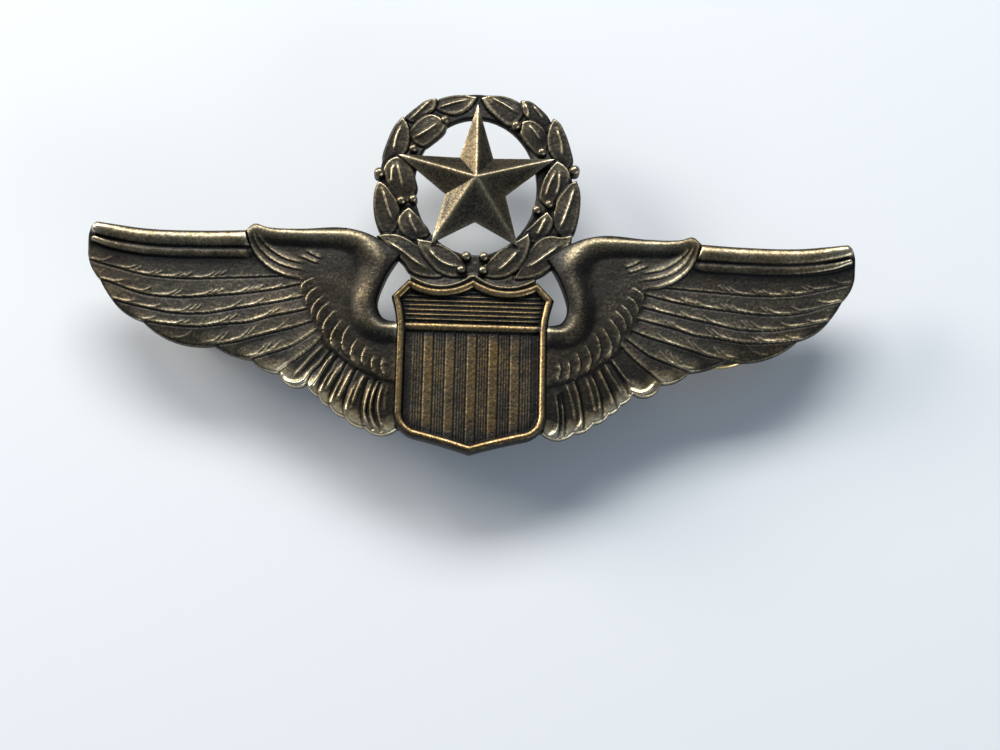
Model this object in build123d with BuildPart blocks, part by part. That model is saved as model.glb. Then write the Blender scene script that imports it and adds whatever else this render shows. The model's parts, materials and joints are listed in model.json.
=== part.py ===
"""Pilot wings pin: struck wings, shield, wreath and star on two posts with butterfly clutches.

Millimetres. The badge lies face up: +X along the wings, +Y from the shield's tip towards
the star, +Z out of the face. z = 0 is the table that the clutches stand on, and the
badge's flat back is at BACK.
"""
from build123d import *
import math
import os

# ---------------------------------------------------------------- driving sizes
BACK = 7.0                    # height of the badge's flat back above the table
PLATE = 1.0                   # bridge behind the shield, and the wreath's foot
WING_EDGE = 0.75              # thickness of the wings at their thin trailing edge
FEATHER_STEP = 0.07           # each row of feathers stands this much over the next
COVERT_TOP = 1.40             # small scale feathers round the neck
SHOULDER_TOP = 1.60           # shoulder patch
BEAD_TOP = 1.95               # rolled leading edge and neck
RIDGE_TOP = 1.45              # thin ridge under the leading edge

FAR, TALL = 30.0, 2.0         # cuts and helper outlines reach this far past what they meet

SHIELD_BACK = BACK + PLATE
SHIELD_FLOOR = 0.70           # shield's sunk ground over its own back
SHIELD_RIM = 1.35             # shield's rim over its own back
BAR_LOW, BAR_HIGH = -6.55, -5.80      # bar under the chief
CHIEF_PITCH = 0.47            # fine horizontal lines above the bar
CHIEF_LINES = 6
CHIEF_LINE_WIDTH = 0.20
FIELD_HALF, FIELD_LOW = 7.0, -18.0          # reach of the bar and lines, under the rim
STRIPES = 5                   # flat stripes below the bar
STRIPE_PITCH = 2.10
STRIPE_WIDTH = 0.85
LINE_RELIEF = 0.18
BAR_RELIEF = 0.45

WREATH_TOP = 1.10             # leaves over the back
RING_TOP = 0.80               # ground between the leaves
RING_Y = 8.9                  # middle of the ring
RING_INNER = (5.9, 7.0)       # half widths of the ring's inside
RING_OUTER = (9.7, 9.9)
STAR_BACK = BACK + 1.15       # the star lies on the leaves
STAR_EDGE = 0.25
STAR_APEX_Z = 1.65            # apex over the star's back
STAR_APEX_FLAT = 0.01

POSTS = {"left": (-24.2, -2.4), "right": (24.2, -3.3)}   # soldered by hand, so not level
PAD_R, PAD_T = 2.4, 0.35      # post's round foot
SHAFT_R = 0.60
SHAFT_END = 1.0               # where the point starts
POINT_Z, POINT_R = 0.35, 0.12
GROOVE_Z, GROOVE_H, GROOVE_R, GROOVE_BEVEL = 2.45, 0.50, 0.45, 0.10
SOLDER_W, SOLDER_H = 0.50, 0.22

BASE_R, BASE_T = 5.6, 0.30    # clutch's flat disc, next to the cloth
BASE_TOP = 6.60
CURL_W, CURL_H = 0.50, 0.45   # its rolled rim
CURL_FILLET = 0.25
CENTRE_HOLE_R = 0.80
DIMPLE_R, DIMPLE_H, DIMPLE_TAPER = 0.40, 0.20, 30
DIMPLE_PCD, DIMPLES = 3.9, 6

COVER_R, COVER_T = 5.05, 0.30
SADDLE = (6.4, 5.2)           # raised box that holds the jaws, X and Y
SADDLE_BOTTOM = 3.90
SADDLE_WALL = 0.30
SADDLE_CORNER = 0.80
SLOT_HALF, SLOT_LOW, SLOT_HIGH = 1.95, 4.40, 5.30

JAW_T = 0.25                  # jaw plate
JAW_LOW = {"outer": 4.90, "inner": 4.50}    # the two plates cross, one over the other
JAW_HALF, JAW_NECK_HALF = 1.80, 1.10
JAW_NECK_X = 2.0              # where the plate narrows
JAW_REACH = 1.90              # past the post on the far side
GRIP_R, GRIP_LENGTH = 0.63, 0.97            # slot round the post
LUG_X, LUG_T, LUG_TOP = 2.50, 0.25, 5.90
LUG_IN, LUG_OUT = 1.20, 1.70
TAB_X, TAB_T = 4.15, 0.35     # finger tab: inner face and thickness
TAB_BEND_Z, TAB_R = 3.20, 4.60
TAB_HALF, TAB_FOOT_HALF = 3.20, 1.60
TAB_NECK_Z, TAB_WIDE_TOP, TAB_WIDE_LOW = 4.3, 3.3, 1.3      # heights where its width changes
TAB_CORNER = 0.7
TAB_REACH = 9.0               # beyond everything that a tab has in X

WIRE_R, WIRE_Z = 0.20, 5.55   # U spring between the lugs
WIRE_X, WIRE_Y, WIRE_END, WIRE_BEND = 2.28, 2.00, -1.75, 0.60

BRIDGE_X, BRIDGE_LOW, BRIDGE_HIGH = 7.0, -16.3, -3.5     # half width and ends

# ------------------------------------------------- outlines of the right wing (+X side)
LEADING_EDGE = [(22.5, 3.3), (26.0, 3.1), (31.0, 3.05), (35.0, 3.4), (37.2, 3.7)]
SHOULDER_EDGE = [(22.5, 3.3), (21.6, 3.95), (20.2, 3.6), (17.0, 3.6), (13.5, 3.9), (11.0, 3.5), (9.0, 2.7)]
TIP_EDGE = [(37.2, 3.7), (37.95, 2.8), (37.95, 0.8)]
NECK_WINDOW = [(7.2, 1.3), (8.5, -1.0), (9.3, -3.6), (8.7, -5.25), (7.0, -5.7)]
# the trailing edge: one arc for each feather tip, as (point on the arc, end of the arc)
TRAILING_TIPS = [
    ((37.6, -0.6), (36.6, -2.0)), ((36.0, -3.05), (35.3, -4.0)), ((33.9, -5.35), (32.15, -6.15)),
    ((29.2, -8.05), (25.0, -8.45)), ((23.2, -9.35), (21.3, -9.75)), ((20.0, -10.75), (18.55, -11.0)),
    ((17.2, -12.35), (15.85, -12.05)), ((15.3, -12.85), (14.65, -13.2)), ((14.1, -13.95), (13.5, -14.2)),
    ((12.8, -14.95), (12.0, -15.2)), ((11.1, -16.0), (10.1, -16.2)), ((8.6, -16.9), (7.0, -16.3)),
]
# lower edge of each row of feathers, from the wing's tip inwards
FEATHER_ROWS = [
    [(38.3, 1.6), (35.5, 0.5), (31.0, 0.0), (22.0, 0.2), (14.0, 0.5)],
    [(37.9, -0.2), (34.6, -1.0), (29.0, -1.8), (24.0, -1.65), (14.0, -0.6)],
    [(36.7, -2.0), (31.5, -3.6), (25.5, -3.5), (20.0, -2.8), (13.0, -1.4)],
    [(35.4, -4.0), (29.0, -5.35), (22.5, -4.6), (17.0, -3.5), (12.0, -2.0)],
    [(32.3, -6.1), (25.5, -6.55), (18.8, -5.25), (15.0, -4.1), (11.0, -2.6)],
    [(25.3, -8.4), (19.5, -7.05), (15.6, -5.7), (12.0, -4.2)],
    [(21.5, -9.7), (18.6, -8.8), (15.1, -6.7), (12.0, -5.0)],
]
SECOND_RIDGE_WIDTH = 0.5
SECOND_RIDGE = [(37.9, 2.3), (35.0, 1.0), (31.0, 0.65), (27.0, 0.65), (21.5, 0.9)]
BEAD_LOWER = [(38.2, 2.9), (35.0, 1.6), (31.0, 1.2), (27.0, 1.25), (21.5, 1.5)]
SHOULDER_LOWER = [(22.9, 3.3), (21.9, 1.4), (20.4, -0.4), (18.0, -1.5), (15.0, -1.3), (11.0, -1.0)]
COVERT_LOWER = [(17.2, -1.2), (16.5, -3.7), (14.7, -7.1), (11.8, -9.9), (8.6, -11.4), (6.8, -11.7)]
NECK_INNER = [(21.9, 2.9), (20.0, 2.6), (13.5, 2.7), (10.8, 1.5), (11.3, -3.2), (10.2, -6.3), (6.8, -7.0)]
FAN_RIBS = [        # raised quills of the short feathers, root to tip
    ((14.7, -8.0), (18.0, -11.2)), ((13.9, -8.8), (16.3, -11.5)), ((13.3, -9.4), (15.1, -12.4)),
    ((12.5, -9.9), (14.0, -13.3)), ((11.6, -10.7), (12.8, -14.3)), ((10.6, -11.2), (11.3, -15.2)),
    ((9.5, -11.9), (10.0, -15.7)), ((8.6, -12.0), (8.8, -16.1)),
]
FAN_RIB_WIDTH = 0.45

# right half of the shield: top, scallop, corner, point, waist (2), side, heel (2), keel and tip
SHIELD_OUTSIDE = [
    (0, -1.25), (3.2, -2.35), (6.3, -1.45), (7.95, -3.25), (7.55, -4.8), (7.35, -6.3),
    (7.35, -14.9), (6.85, -16.35), (5.3, -17.35), (2.7, -18.0), (0, -18.8),
]
SHIELD_INSIDE = [      # foot of the rim's inner slope
    (0, -2.05), (3.2, -3.0), (6.15, -2.15), (7.05, -3.35), (6.75, -4.9), (6.55, -6.4),
    (6.55, -14.8), (6.15, -15.9), (4.95, -16.65), (2.5, -17.3), (0, -18.0),
]

# wreath leaves, as (base, tip, width, bend of the middle to the leaf's left)
LEAVES = [
    ((-4.7, 16.9), (-0.1, 18.45), 2.3, -0.15), ((-7.1, 15.6), (-4.15, 18.15), 1.9, 0.1),
    ((-6.8, 15.2), (-3.9, 16.25), 0.9, 0.2), ((-6.7, 13.7), (-2.5, 15.7), 1.9, -0.1),
    ((-8.3, 11.2), (-7.6, 16.0), 2.3, 0.1), ((-6.9, 7.3), (-8.5, 11.6), 2.3, 0.0),
    ((-8.2, 3.4), (-9.7, 9.1), 2.2, 0.2), ((-5.4, 3.0), (-6.6, 6.35), 1.9, 0.0),
    ((-3.4, -0.9), (-8.95, 3.35), 2.3, -0.1), ((-1.3, 0.0), (-5.4, 3.2), 2.0, 0.4),
    ((-1.2, 1.2), (-3.7, 3.3), 1.2, 0.0),
    ((4.7, 16.5), (0.2, 18.35), 2.5, 0.15), ((7.3, 15.2), (4.85, 18.35), 1.8, -0.1),
    ((7.0, 15.0), (4.4, 16.0), 0.8, -0.2), ((6.7, 13.8), (3.7, 15.5), 1.9, 0.2),
    ((8.6, 11.5), (7.8, 16.4), 2.1, -0.1), ((6.9, 7.4), (8.4, 11.6), 2.1, 0.0),
    ((8.4, 3.9), (10.15, 9.7), 2.2, -0.2), ((6.0, 3.0), (7.1, 6.35), 1.9, 0.0),
    ((4.2, -0.8), (9.7, 3.7), 2.4, 0.0), ((1.5, -0.4), (5.4, 3.9), 2.0, -0.5),
    ((1.5, 0.9), (3.7, 3.1), 1.2, 0.0),
]
# berries, as (x, y, radius)
BERRIES = [
    (-0.75, 1.35, 0.50), (1.0, 1.35, 0.50), (-1.2, -0.05, 0.48), (0.95, -0.05, 0.48),
    (-3.25, 15.85, 0.42), (-6.35, 12.65, 0.40), (-7.35, 7.15, 0.45), (-6.2, 7.3, 0.40),
    (-9.65, 9.95, 0.50), (3.9, 15.5, 0.45), (6.55, 12.7, 0.42), (7.35, 7.2, 0.42),
    (6.15, 6.55, 0.42), (9.85, 10.85, 0.50),
]
FOOT = ((0, -1.9), (12.4, 3.2))       # centre and size of the wreath's foot behind the shield

# star: tips and notches of the right half, from the top round to the bottom
STAR_APEX = (0.0, 9.15)
STAR_POINTS = [(0, 17.4), (1.68, 11.6), (7.8, 11.75), (2.97, 7.7), (4.28, 2.5), (0, 4.9)]


# ---------------------------------------------------------------- outlines
def wing_outline():
    """Face of the right wing, from under the wreath to the middle line behind the shield."""
    with BuildSketch() as wing:
        with BuildLine():
            Spline(*SHOULDER_EDGE[::-1])
            Spline(*LEADING_EDGE)
            Spline(*TIP_EDGE)
            start = TIP_EDGE[-1]
            for via, end in TRAILING_TIPS:
                ThreePointArc(start, via, end)
                start = end
            Polyline(start, (0, start[1]), (0, FOOT[0][1] - FOOT[1][1] / 2), (6.4, -3.5), NECK_WINDOW[-1])
            Spline(*NECK_WINDOW[::-1])
            Line(NECK_WINDOW[0], SHOULDER_EDGE[-1])
        make_face()
    return wing.sketch


def above(curve):
    """Everything on the leading side of a line of points that runs from the wing's tip inwards."""
    with BuildSketch() as side:
        with BuildLine():
            Spline(*curve)
            first, last = curve[0], curve[-1]
            Polyline(last, (last[0], FAR), (first[0] + FAR, FAR), (first[0] + FAR, first[1]), first)
        make_face()
    return side.sketch


def inside(curve):
    """Everything on the shield's side of a line of points that runs from the shoulder downwards."""
    with BuildSketch() as side:
        with BuildLine():
            Spline(*curve)
            first, last = curve[0], curve[-1]
            Polyline(last, (0, last[1]), (0, FAR), (first[0], FAR), first)
        make_face()
    return side.sketch


def band(curve, width):
    """A strip of constant width along a smooth curve."""
    with BuildSketch() as strip:
        with BuildLine() as line:
            Spline(*curve)
        trace(line.line, width)
    return strip.sketch


def wing_relief(region, top):
    """The part of the wing inside a region, from the back plane to a height over it."""
    with BuildPart() as relief:
        with BuildSketch(Plane.XY.offset(BACK)):
            add(wing_outline())
            add(region, mode=Mode.INTERSECT)
        extrude(amount=top)
    return relief.part


def shield_outline(half=SHIELD_OUTSIDE):
    """Face of the whole shield: scalloped top, waisted shoulders and a pointed foot."""
    top, scallop, corner, point, waist_mid, waist, side, bend, heel, keel, tip = half
    with BuildSketch() as shape:
        with BuildLine():
            ThreePointArc(top, scallop, corner)
            Line(corner, point)
            ThreePointArc(point, waist_mid, waist)
            Line(waist, side)
            ThreePointArc(side, bend, heel)
            ThreePointArc(heel, keel, tip)
            mirror(about=Plane.YZ)
        make_face()
    return shape.sketch


def leaf_outline(base, tip, width, bend):
    """A pointed leaf between two arcs, its middle moved sideways by bend."""
    dx, dy = tip[0] - base[0], tip[1] - base[1]
    length = math.hypot(dx, dy)
    nx, ny = -dy / length, dx / length
    middle = (base[0] + dx / 2 + nx * bend, base[1] + dy / 2 + ny * bend)
    left = (middle[0] + nx * width / 2, middle[1] + ny * width / 2)
    right = (middle[0] - nx * width / 2, middle[1] - ny * width / 2)
    with BuildSketch() as leaf:
        with BuildLine():
            ThreePointArc(base, left, tip)
            ThreePointArc(tip, right, base)
        make_face()
    return leaf.sketch


def star_outline(scale):
    """The ten-sided star, drawn in towards its apex by scale."""
    half = [(STAR_APEX[0] + (x - STAR_APEX[0]) * scale, STAR_APEX[1] + (y - STAR_APEX[1]) * scale)
            for x, y in STAR_POINTS]
    other = [(-x, y) for x, y in half[-2:0:-1]]
    with BuildSketch() as star_face:
        with BuildLine():
            Polyline(*half, *other, close=True)
        make_face()
    return star_face.sketch


os.makedirs("parts", exist_ok=True)

# ---------------------------------------------------------------- wreath
with BuildPart() as wreath:
    with BuildSketch(Plane.XY.offset(BACK)):
        with Locations((0, RING_Y)):
            Ellipse(*RING_OUTER)
            Ellipse(*RING_INNER, mode=Mode.SUBTRACT)
    extrude(amount=RING_TOP)
    with BuildSketch(Plane.XY.offset(BACK)):
        for leaf in LEAVES:
            add(leaf_outline(*leaf))
        for x, y, radius in BERRIES:
            with Locations((x, y)):
                Circle(radius)
    extrude(amount=WREATH_TOP)
    with BuildSketch(Plane.XY.offset(BACK)):
        with Locations(FOOT[0]):
            Rectangle(*FOOT[1])
    extrude(amount=PLATE)
    for x, y, radius in BERRIES:
        with Locations((x, y, BACK + WREATH_TOP)):
            Sphere(radius)
    # the shield lies on the foot, so nothing stands higher than the foot under it
    with BuildSketch(Plane.XY.offset(BACK + PLATE)):
        add(shield_outline())
    extrude(amount=TALL, mode=Mode.SUBTRACT)
wreath.part.label = "wreath"
export_step(wreath.part, "parts/wreath.step")

# ---------------------------------------------------------------- wings
with BuildPart() as wing_plate:
    with BuildSketch(Plane.XY.offset(BACK)):
        add(wing_outline())
    extrude(amount=WING_EDGE)
    for row, edge in enumerate(FEATHER_ROWS):
        add(wing_relief(above(edge), WING_EDGE + FEATHER_STEP * (len(FEATHER_ROWS) - row)))
    for root, tip in FAN_RIBS:
        middle = ((root[0] + tip[0]) / 2 - 0.1, (root[1] + tip[1]) / 2)
        add(wing_relief(band([root, middle, tip], FAN_RIB_WIDTH), WING_EDGE + 2 * FEATHER_STEP))
    add(wing_relief(band(SECOND_RIDGE, SECOND_RIDGE_WIDTH), RIDGE_TOP))
    add(wing_relief(above(BEAD_LOWER), BEAD_TOP))
    add(wing_relief(inside(COVERT_LOWER), COVERT_TOP))
    add(wing_relief(inside(SHOULDER_LOWER), SHOULDER_TOP))
    add(wing_relief(inside(NECK_INNER), BEAD_TOP))
    # the bridge behind the shield is flat, and the shield lies on it
    with BuildSketch(Plane.XY.offset(BACK)):
        with Locations((BRIDGE_X / 2, (BRIDGE_LOW + BRIDGE_HIGH) / 2)):
            Rectangle(BRIDGE_X, BRIDGE_HIGH - BRIDGE_LOW)
    extrude(amount=PLATE)
    with BuildSketch(Plane.XY.offset(BACK + PLATE)):
        add(shield_outline())
    extrude(amount=TALL, mode=Mode.SUBTRACT)
    mirror(about=Plane.YZ)
    # the wings butt against the wreath and are soldered to it there
    add(wreath.part, mode=Mode.SUBTRACT)
wing_plate.part.label = "wing_plate"
export_step(wing_plate.part, "parts/wing_plate.step")

# ---------------------------------------------------------------- shield
with BuildPart() as shield:
    with BuildSketch(Plane.XY.offset(SHIELD_BACK)):
        add(shield_outline())
    extrude(amount=SHIELD_RIM)
    with BuildSketch(Plane.XY.offset(SHIELD_BACK + SHIELD_FLOOR)):
        add(shield_outline(SHIELD_INSIDE))
    extrude(amount=SHIELD_RIM, mode=Mode.SUBTRACT)
    with BuildSketch(Plane.XY.offset(SHIELD_BACK + SHIELD_FLOOR)):
        with Locations((0, (BAR_LOW + BAR_HIGH) / 2)):
            Rectangle(2 * FIELD_HALF, BAR_HIGH - BAR_LOW)
    extrude(amount=BAR_RELIEF)
    with BuildSketch(Plane.XY.offset(SHIELD_BACK + SHIELD_FLOOR)):
        for line in range(CHIEF_LINES):
            with Locations((0, BAR_HIGH + CHIEF_PITCH * (line + 0.8))):
                Rectangle(2 * FIELD_HALF, CHIEF_LINE_WIDTH)
        with Locations((0, (BAR_LOW + FIELD_LOW) / 2)):
            with GridLocations(STRIPE_PITCH, 1, STRIPES, 1):
                Rectangle(STRIPE_WIDTH, BAR_LOW - FIELD_LOW)
        add(shield_outline(), mode=Mode.INTERSECT)
    extrude(amount=LINE_RELIEF)
shield.part.label = "shield"
export_step(shield.part, "parts/shield.step")

# ---------------------------------------------------------------- star
with BuildPart() as star:
    with BuildSketch(Plane.XY.offset(STAR_BACK)):
        add(star_outline(1))
    extrude(amount=STAR_EDGE)
    with BuildSketch(Plane.XY.offset(STAR_BACK + STAR_EDGE)):
        add(star_outline(1))
    with BuildSketch(Plane.XY.offset(STAR_BACK + STAR_APEX_Z)):
        add(star_outline(STAR_APEX_FLAT))
    loft(ruled=True)
star.part.label = "star"
export_step(star.part, "parts/star.step")


# ---------------------------------------------------------------- posts and clutches
def jaw_profile(side):
    """Section of one jaw along X: flat plate, bend, and the finger tab that flares to the table."""
    low = JAW_LOW[side]
    top = low + JAW_T
    turn = math.asin(TAB_BEND_Z / (TAB_R + TAB_T))
    centre = (-TAB_X - TAB_T - TAB_R, TAB_BEND_Z)

    def on_arc(radius, angle):
        return centre[0] + radius * math.cos(angle), centre[1] - radius * math.sin(angle)

    inner, outer = TAB_R + TAB_T, TAB_R
    with BuildSketch() as profile:
        with BuildLine():
            Polyline(on_arc(outer, 0), (-TAB_X - TAB_T, top), (JAW_REACH, top), (JAW_REACH, low),
                     (-TAB_X, low), on_arc(inner, 0))
            ThreePointArc(on_arc(inner, 0), on_arc(inner, turn / 2), on_arc(inner, turn))
            Line(on_arc(inner, turn), on_arc(outer, turn))
            ThreePointArc(on_arc(outer, turn), on_arc(outer, turn / 2), on_arc(outer, 0))
        make_face()
    return profile.sketch


def jaw_outline():
    """A jaw seen along X: neck, wide rounded finger tab and narrow foot."""
    half = [(JAW_HALF, SLOT_HIGH), (JAW_HALF, TAB_NECK_Z), (TAB_HALF, TAB_WIDE_TOP),
            (TAB_HALF, TAB_WIDE_LOW), (TAB_FOOT_HALF, 0)]
    with BuildSketch() as face:
        with BuildLine():
            Polyline(*half, *[(-y, z) for y, z in half[::-1]], close=True)
        make_face()
        fillet(face.vertices().filter_by(lambda corner: 0 < corner.Y < SLOT_HIGH), radius=TAB_CORNER)
    return face.sketch


def jaw(side):
    """One jaw for a post at the origin, with its finger tab on the -X side."""
    low = JAW_LOW[side]
    with BuildPart() as blank:
        with BuildSketch(Plane.XZ):
            add(jaw_profile(side))
        extrude(amount=TAB_HALF, both=True)
        with BuildSketch(Plane.YZ.offset(-TAB_REACH)):
            add(jaw_outline())
        extrude(amount=2 * TAB_REACH, mode=Mode.INTERSECT)
        # the plate narrows so that the other jaw's lugs pass beside it
        with BuildSketch(Plane.XY.offset(low)):
            with Locations((0, JAW_HALF), (0, -JAW_HALF)):
                Rectangle(2 * JAW_NECK_X, 2 * (JAW_HALF - JAW_NECK_HALF))
        extrude(amount=JAW_T, mode=Mode.SUBTRACT)
        with BuildSketch(Plane.XY.offset(low)):
            with Locations((-GRIP_LENGTH / 2, 0)):
                SlotCenterToCenter(GRIP_LENGTH, 2 * GRIP_R)
        extrude(amount=JAW_T, mode=Mode.SUBTRACT)
        with BuildSketch(Plane.XY.offset(low + JAW_T)):
            with Locations((-LUG_X - LUG_T / 2, 0)):
                Rectangle(LUG_T, 2 * LUG_OUT)
                Rectangle(LUG_T, 2 * LUG_IN, mode=Mode.SUBTRACT)
        extrude(amount=LUG_TOP - low - JAW_T)
    return blank.part


for side, (post_x, post_y) in POSTS.items():
    at_post = Location((post_x, post_y, 0))

    with BuildPart() as pin_post:
        with BuildSketch(Plane.XZ):
            with BuildLine():
                Polyline((0, POINT_Z), (POINT_R, POINT_Z), (SHAFT_R, SHAFT_END), (SHAFT_R, GROOVE_Z),
                         (GROOVE_R, GROOVE_Z + GROOVE_BEVEL),
                         (GROOVE_R, GROOVE_Z + GROOVE_H - GROOVE_BEVEL),
                         (SHAFT_R, GROOVE_Z + GROOVE_H), (SHAFT_R, BACK - PAD_T),
                         (PAD_R, BACK - PAD_T), (PAD_R, BACK), (0, BACK), close=True)
            make_face()
        revolve(axis=Axis.Z)

    with BuildPart() as solder_fillet:
        with BuildSketch(Plane.XZ):
            with BuildLine():
                Polyline((PAD_R, BACK), (PAD_R, BACK - SOLDER_H), (PAD_R + SOLDER_W, BACK), close=True)
            make_face()
        revolve(axis=Axis.Z)

    with BuildPart() as clutch_base:
        with BuildSketch(Plane.XY.offset(BASE_TOP)):
            Circle(BASE_R)
            Circle(CENTRE_HOLE_R, mode=Mode.SUBTRACT)
        extrude(amount=-BASE_T)
        with BuildSketch(Plane.XY.offset(BASE_TOP - BASE_T)):
            Circle(BASE_R)
            Circle(BASE_R - CURL_W, mode=Mode.SUBTRACT)
        extrude(amount=-CURL_H)
        fillet(clutch_base.edges().filter_by(GeomType.CIRCLE).filter_by(
            lambda edge: abs(edge.radius - BASE_R) < 0.01), radius=CURL_FILLET)
        with BuildSketch(Plane.XY.offset(BASE_TOP)):
            with PolarLocations(DIMPLE_PCD, DIMPLES):
                Circle(DIMPLE_R)
        extrude(amount=DIMPLE_H, taper=DIMPLE_TAPER)

    with BuildPart() as clutch_cover:
        with BuildSketch(Plane.XY.offset(BASE_TOP - BASE_T)):
            Circle(COVER_R)
        extrude(amount=-COVER_T)
        with BuildSketch(Plane.XY.offset(SADDLE_BOTTOM)):
            RectangleRounded(*SADDLE, SADDLE_CORNER)
        extrude(amount=BASE_TOP - BASE_T - SADDLE_BOTTOM)
        with BuildSketch(Plane.XY.offset(SADDLE_BOTTOM + SADDLE_WALL)):
            RectangleRounded(SADDLE[0] - 2 * SADDLE_WALL, SADDLE[1] - 2 * SADDLE_WALL, SADDLE_CORNER / 2)
        extrude(amount=BASE_TOP, mode=Mode.SUBTRACT)
        with BuildSketch(Plane.XY.offset(SLOT_LOW)):
            Rectangle(2 * SADDLE[0], 2 * SLOT_HALF)
        extrude(amount=SLOT_HIGH - SLOT_LOW, mode=Mode.SUBTRACT)
        with BuildSketch(Plane.XY.offset(SADDLE_BOTTOM)):
            Circle(CENTRE_HOLE_R)
        extrude(amount=SADDLE_WALL, mode=Mode.SUBTRACT)

    with BuildPart() as clutch_spring:
        with BuildLine(Plane.XY.offset(WIRE_Z)) as wire_path:
            FilletPolyline((-WIRE_X, WIRE_END), (-WIRE_X, WIRE_Y), (WIRE_X, WIRE_Y), (WIRE_X, WIRE_END),
                           radius=WIRE_BEND)
        with BuildSketch(Plane(origin=(-WIRE_X, WIRE_END, WIRE_Z), z_dir=(0, 1, 0))):
            Circle(WIRE_R)
        sweep()

    outer_jaw = jaw("outer")
    inner_jaw = jaw("inner").mirror(Plane.YZ)
    pieces = {
        "pin_post": pin_post.part, "solder_fillet": solder_fillet.part, "clutch_base": clutch_base.part,
        "clutch_cover": clutch_cover.part, "clutch_spring": clutch_spring.part,
        "clutch_jaw_outer": outer_jaw, "clutch_jaw_inner": inner_jaw,
    }
    for name, piece in pieces.items():
        placed = piece.moved(at_post)
        placed.label = f"{side}_{name}"
        export_step(placed, f"parts/{placed.label}.step")
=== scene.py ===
"""Visual model of the pilot wings pin: struck relief in antique brass on two butterfly clutches.

Every outline and height below is in millimetres, in the frame of the CAD model: +X along the
wings, +Y towards the star, +Z out of the face. Meshes are made in metres.
"""
import json
import math

import bmesh
import bpy
import numpy as np
from mathutils import Matrix, Vector

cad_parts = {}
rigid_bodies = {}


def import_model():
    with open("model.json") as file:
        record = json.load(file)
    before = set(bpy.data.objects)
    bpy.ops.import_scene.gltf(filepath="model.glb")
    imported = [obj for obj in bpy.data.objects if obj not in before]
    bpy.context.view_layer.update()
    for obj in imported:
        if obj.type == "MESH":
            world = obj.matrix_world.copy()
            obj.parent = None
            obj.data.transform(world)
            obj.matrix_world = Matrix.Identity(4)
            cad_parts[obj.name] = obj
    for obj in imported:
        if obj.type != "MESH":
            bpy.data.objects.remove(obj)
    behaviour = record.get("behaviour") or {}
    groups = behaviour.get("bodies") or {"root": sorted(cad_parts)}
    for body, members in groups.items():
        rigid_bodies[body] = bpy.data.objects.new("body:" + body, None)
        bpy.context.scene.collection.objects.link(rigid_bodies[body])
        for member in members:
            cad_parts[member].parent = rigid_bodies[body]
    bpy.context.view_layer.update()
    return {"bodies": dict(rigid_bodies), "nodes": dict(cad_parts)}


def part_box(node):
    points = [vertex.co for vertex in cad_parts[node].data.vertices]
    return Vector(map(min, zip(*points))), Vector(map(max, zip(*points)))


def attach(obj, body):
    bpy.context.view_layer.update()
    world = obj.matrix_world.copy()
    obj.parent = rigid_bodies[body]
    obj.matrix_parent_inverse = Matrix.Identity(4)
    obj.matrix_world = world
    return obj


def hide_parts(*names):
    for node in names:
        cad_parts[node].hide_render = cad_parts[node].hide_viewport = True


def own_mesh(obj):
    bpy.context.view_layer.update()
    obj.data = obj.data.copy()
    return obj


MM = 0.001
SEED = 7
FAR = 1e3                     # stands for a distance that isn't worked out
# A _SPAN is a pair: the x or y where a change begins, and where it is full.
# Wear is 0 where the brass is darkest and 1 where it is rubbed bright; on the wings it also carries
# painted highlight and painted shade. A _LESS_WEAR is taken away.

# ------------- struck faces
SOFTEN = 0.75                 # softening of struck edges, in mesh cells
SNAP_ROUNDS, PROBE, LEAST_SLOPE = 3, 0.01, 0.3     # how points are moved onto an outline
GRAINS = ((1.6, 0.003), (9.0, 0.006))              # unevenness, as (spread in mesh cells, height)
EDGE_ROUND, EDGE_DROP = 0.22, 0.28
CREASE, STAR_CREASE, CLUTCH_CREASE = 50, 20, 35    # degrees from which an edge stays sharp
BACK_WEAR = 0.35
BASE_WEAR, SHIELD_BASE_WEAR = 0.34, 0.38
STRIPE_WEAR, RIM_LESS_WEAR, CHIEF_WEAR = 0.03, 0.17, 0.02
# wear as (how far round a point it looks, how strongly it acts, most it can take away, most it can add)
WEAR_SCALES = ((0.30, 2.3, 0.18, 0.36), (0.90, 0.8, 0.10, 0.15))

# ------------- camera and light
CAMERA_TARGET = (2.84, -10.65, 8.0)
CAMERA_ELEVATION, CAMERA_AZIMUTH, CAMERA_ROLL = 75.0, -6.03, 7.53
CAMERA_DISTANCE = 181.3
CAMERA_VIEW = 30.0            # horizontal angle
FLOOR_HALF, FLOOR_COLOUR, FLOOR_ROUGHNESS = 0.6, (0.60, 0.61, 0.62, 1), 0.8
AROUND_COLOUR, AROUND_STRENGTH = (0.62, 0.78, 1.0, 1), 0.31
LIGHTS = [                    # (name, direction it comes from, metres away, size, watts, colour)
    ("key", (-0.10, 0.90, 0.98), 0.55, (0.50, 0.18), 3.7, (0.97, 0.99, 1.0)),
    ("side", (-0.84, 0.40, 0.46), 0.55, (0.22, 0.22), 2.6, (1.0, 0.95, 0.86)),
    ("fill", (0.70, -0.68, 0.30), 0.60, (0.45, 0.25), 1.6, (0.86, 0.93, 1.0)),
]

# ------------- antique brass
GROOVE_COLOUR, DARK_COLOUR = (0.012, 0.012, 0.012), (0.037, 0.033, 0.027)
COPPER_TINT = (1.0, 0.82, 0.60, 1)
BLOTCHES, SPECKLES = 0.35, 0.55                    # how far noise moves the wear

# ------------- wings (right wing, +X side)
WING_BOX = (6.6, 38.4, -17.2, 4.3)                 # x from and to, then y from and to
WING_STEP = 0.065             # mesh spacing of the relief
WING_EDGE = 0.75              # thickness at the trailing edge
WING_RISE, WING_RISE_REACH = 0.50, 5.0

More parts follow.
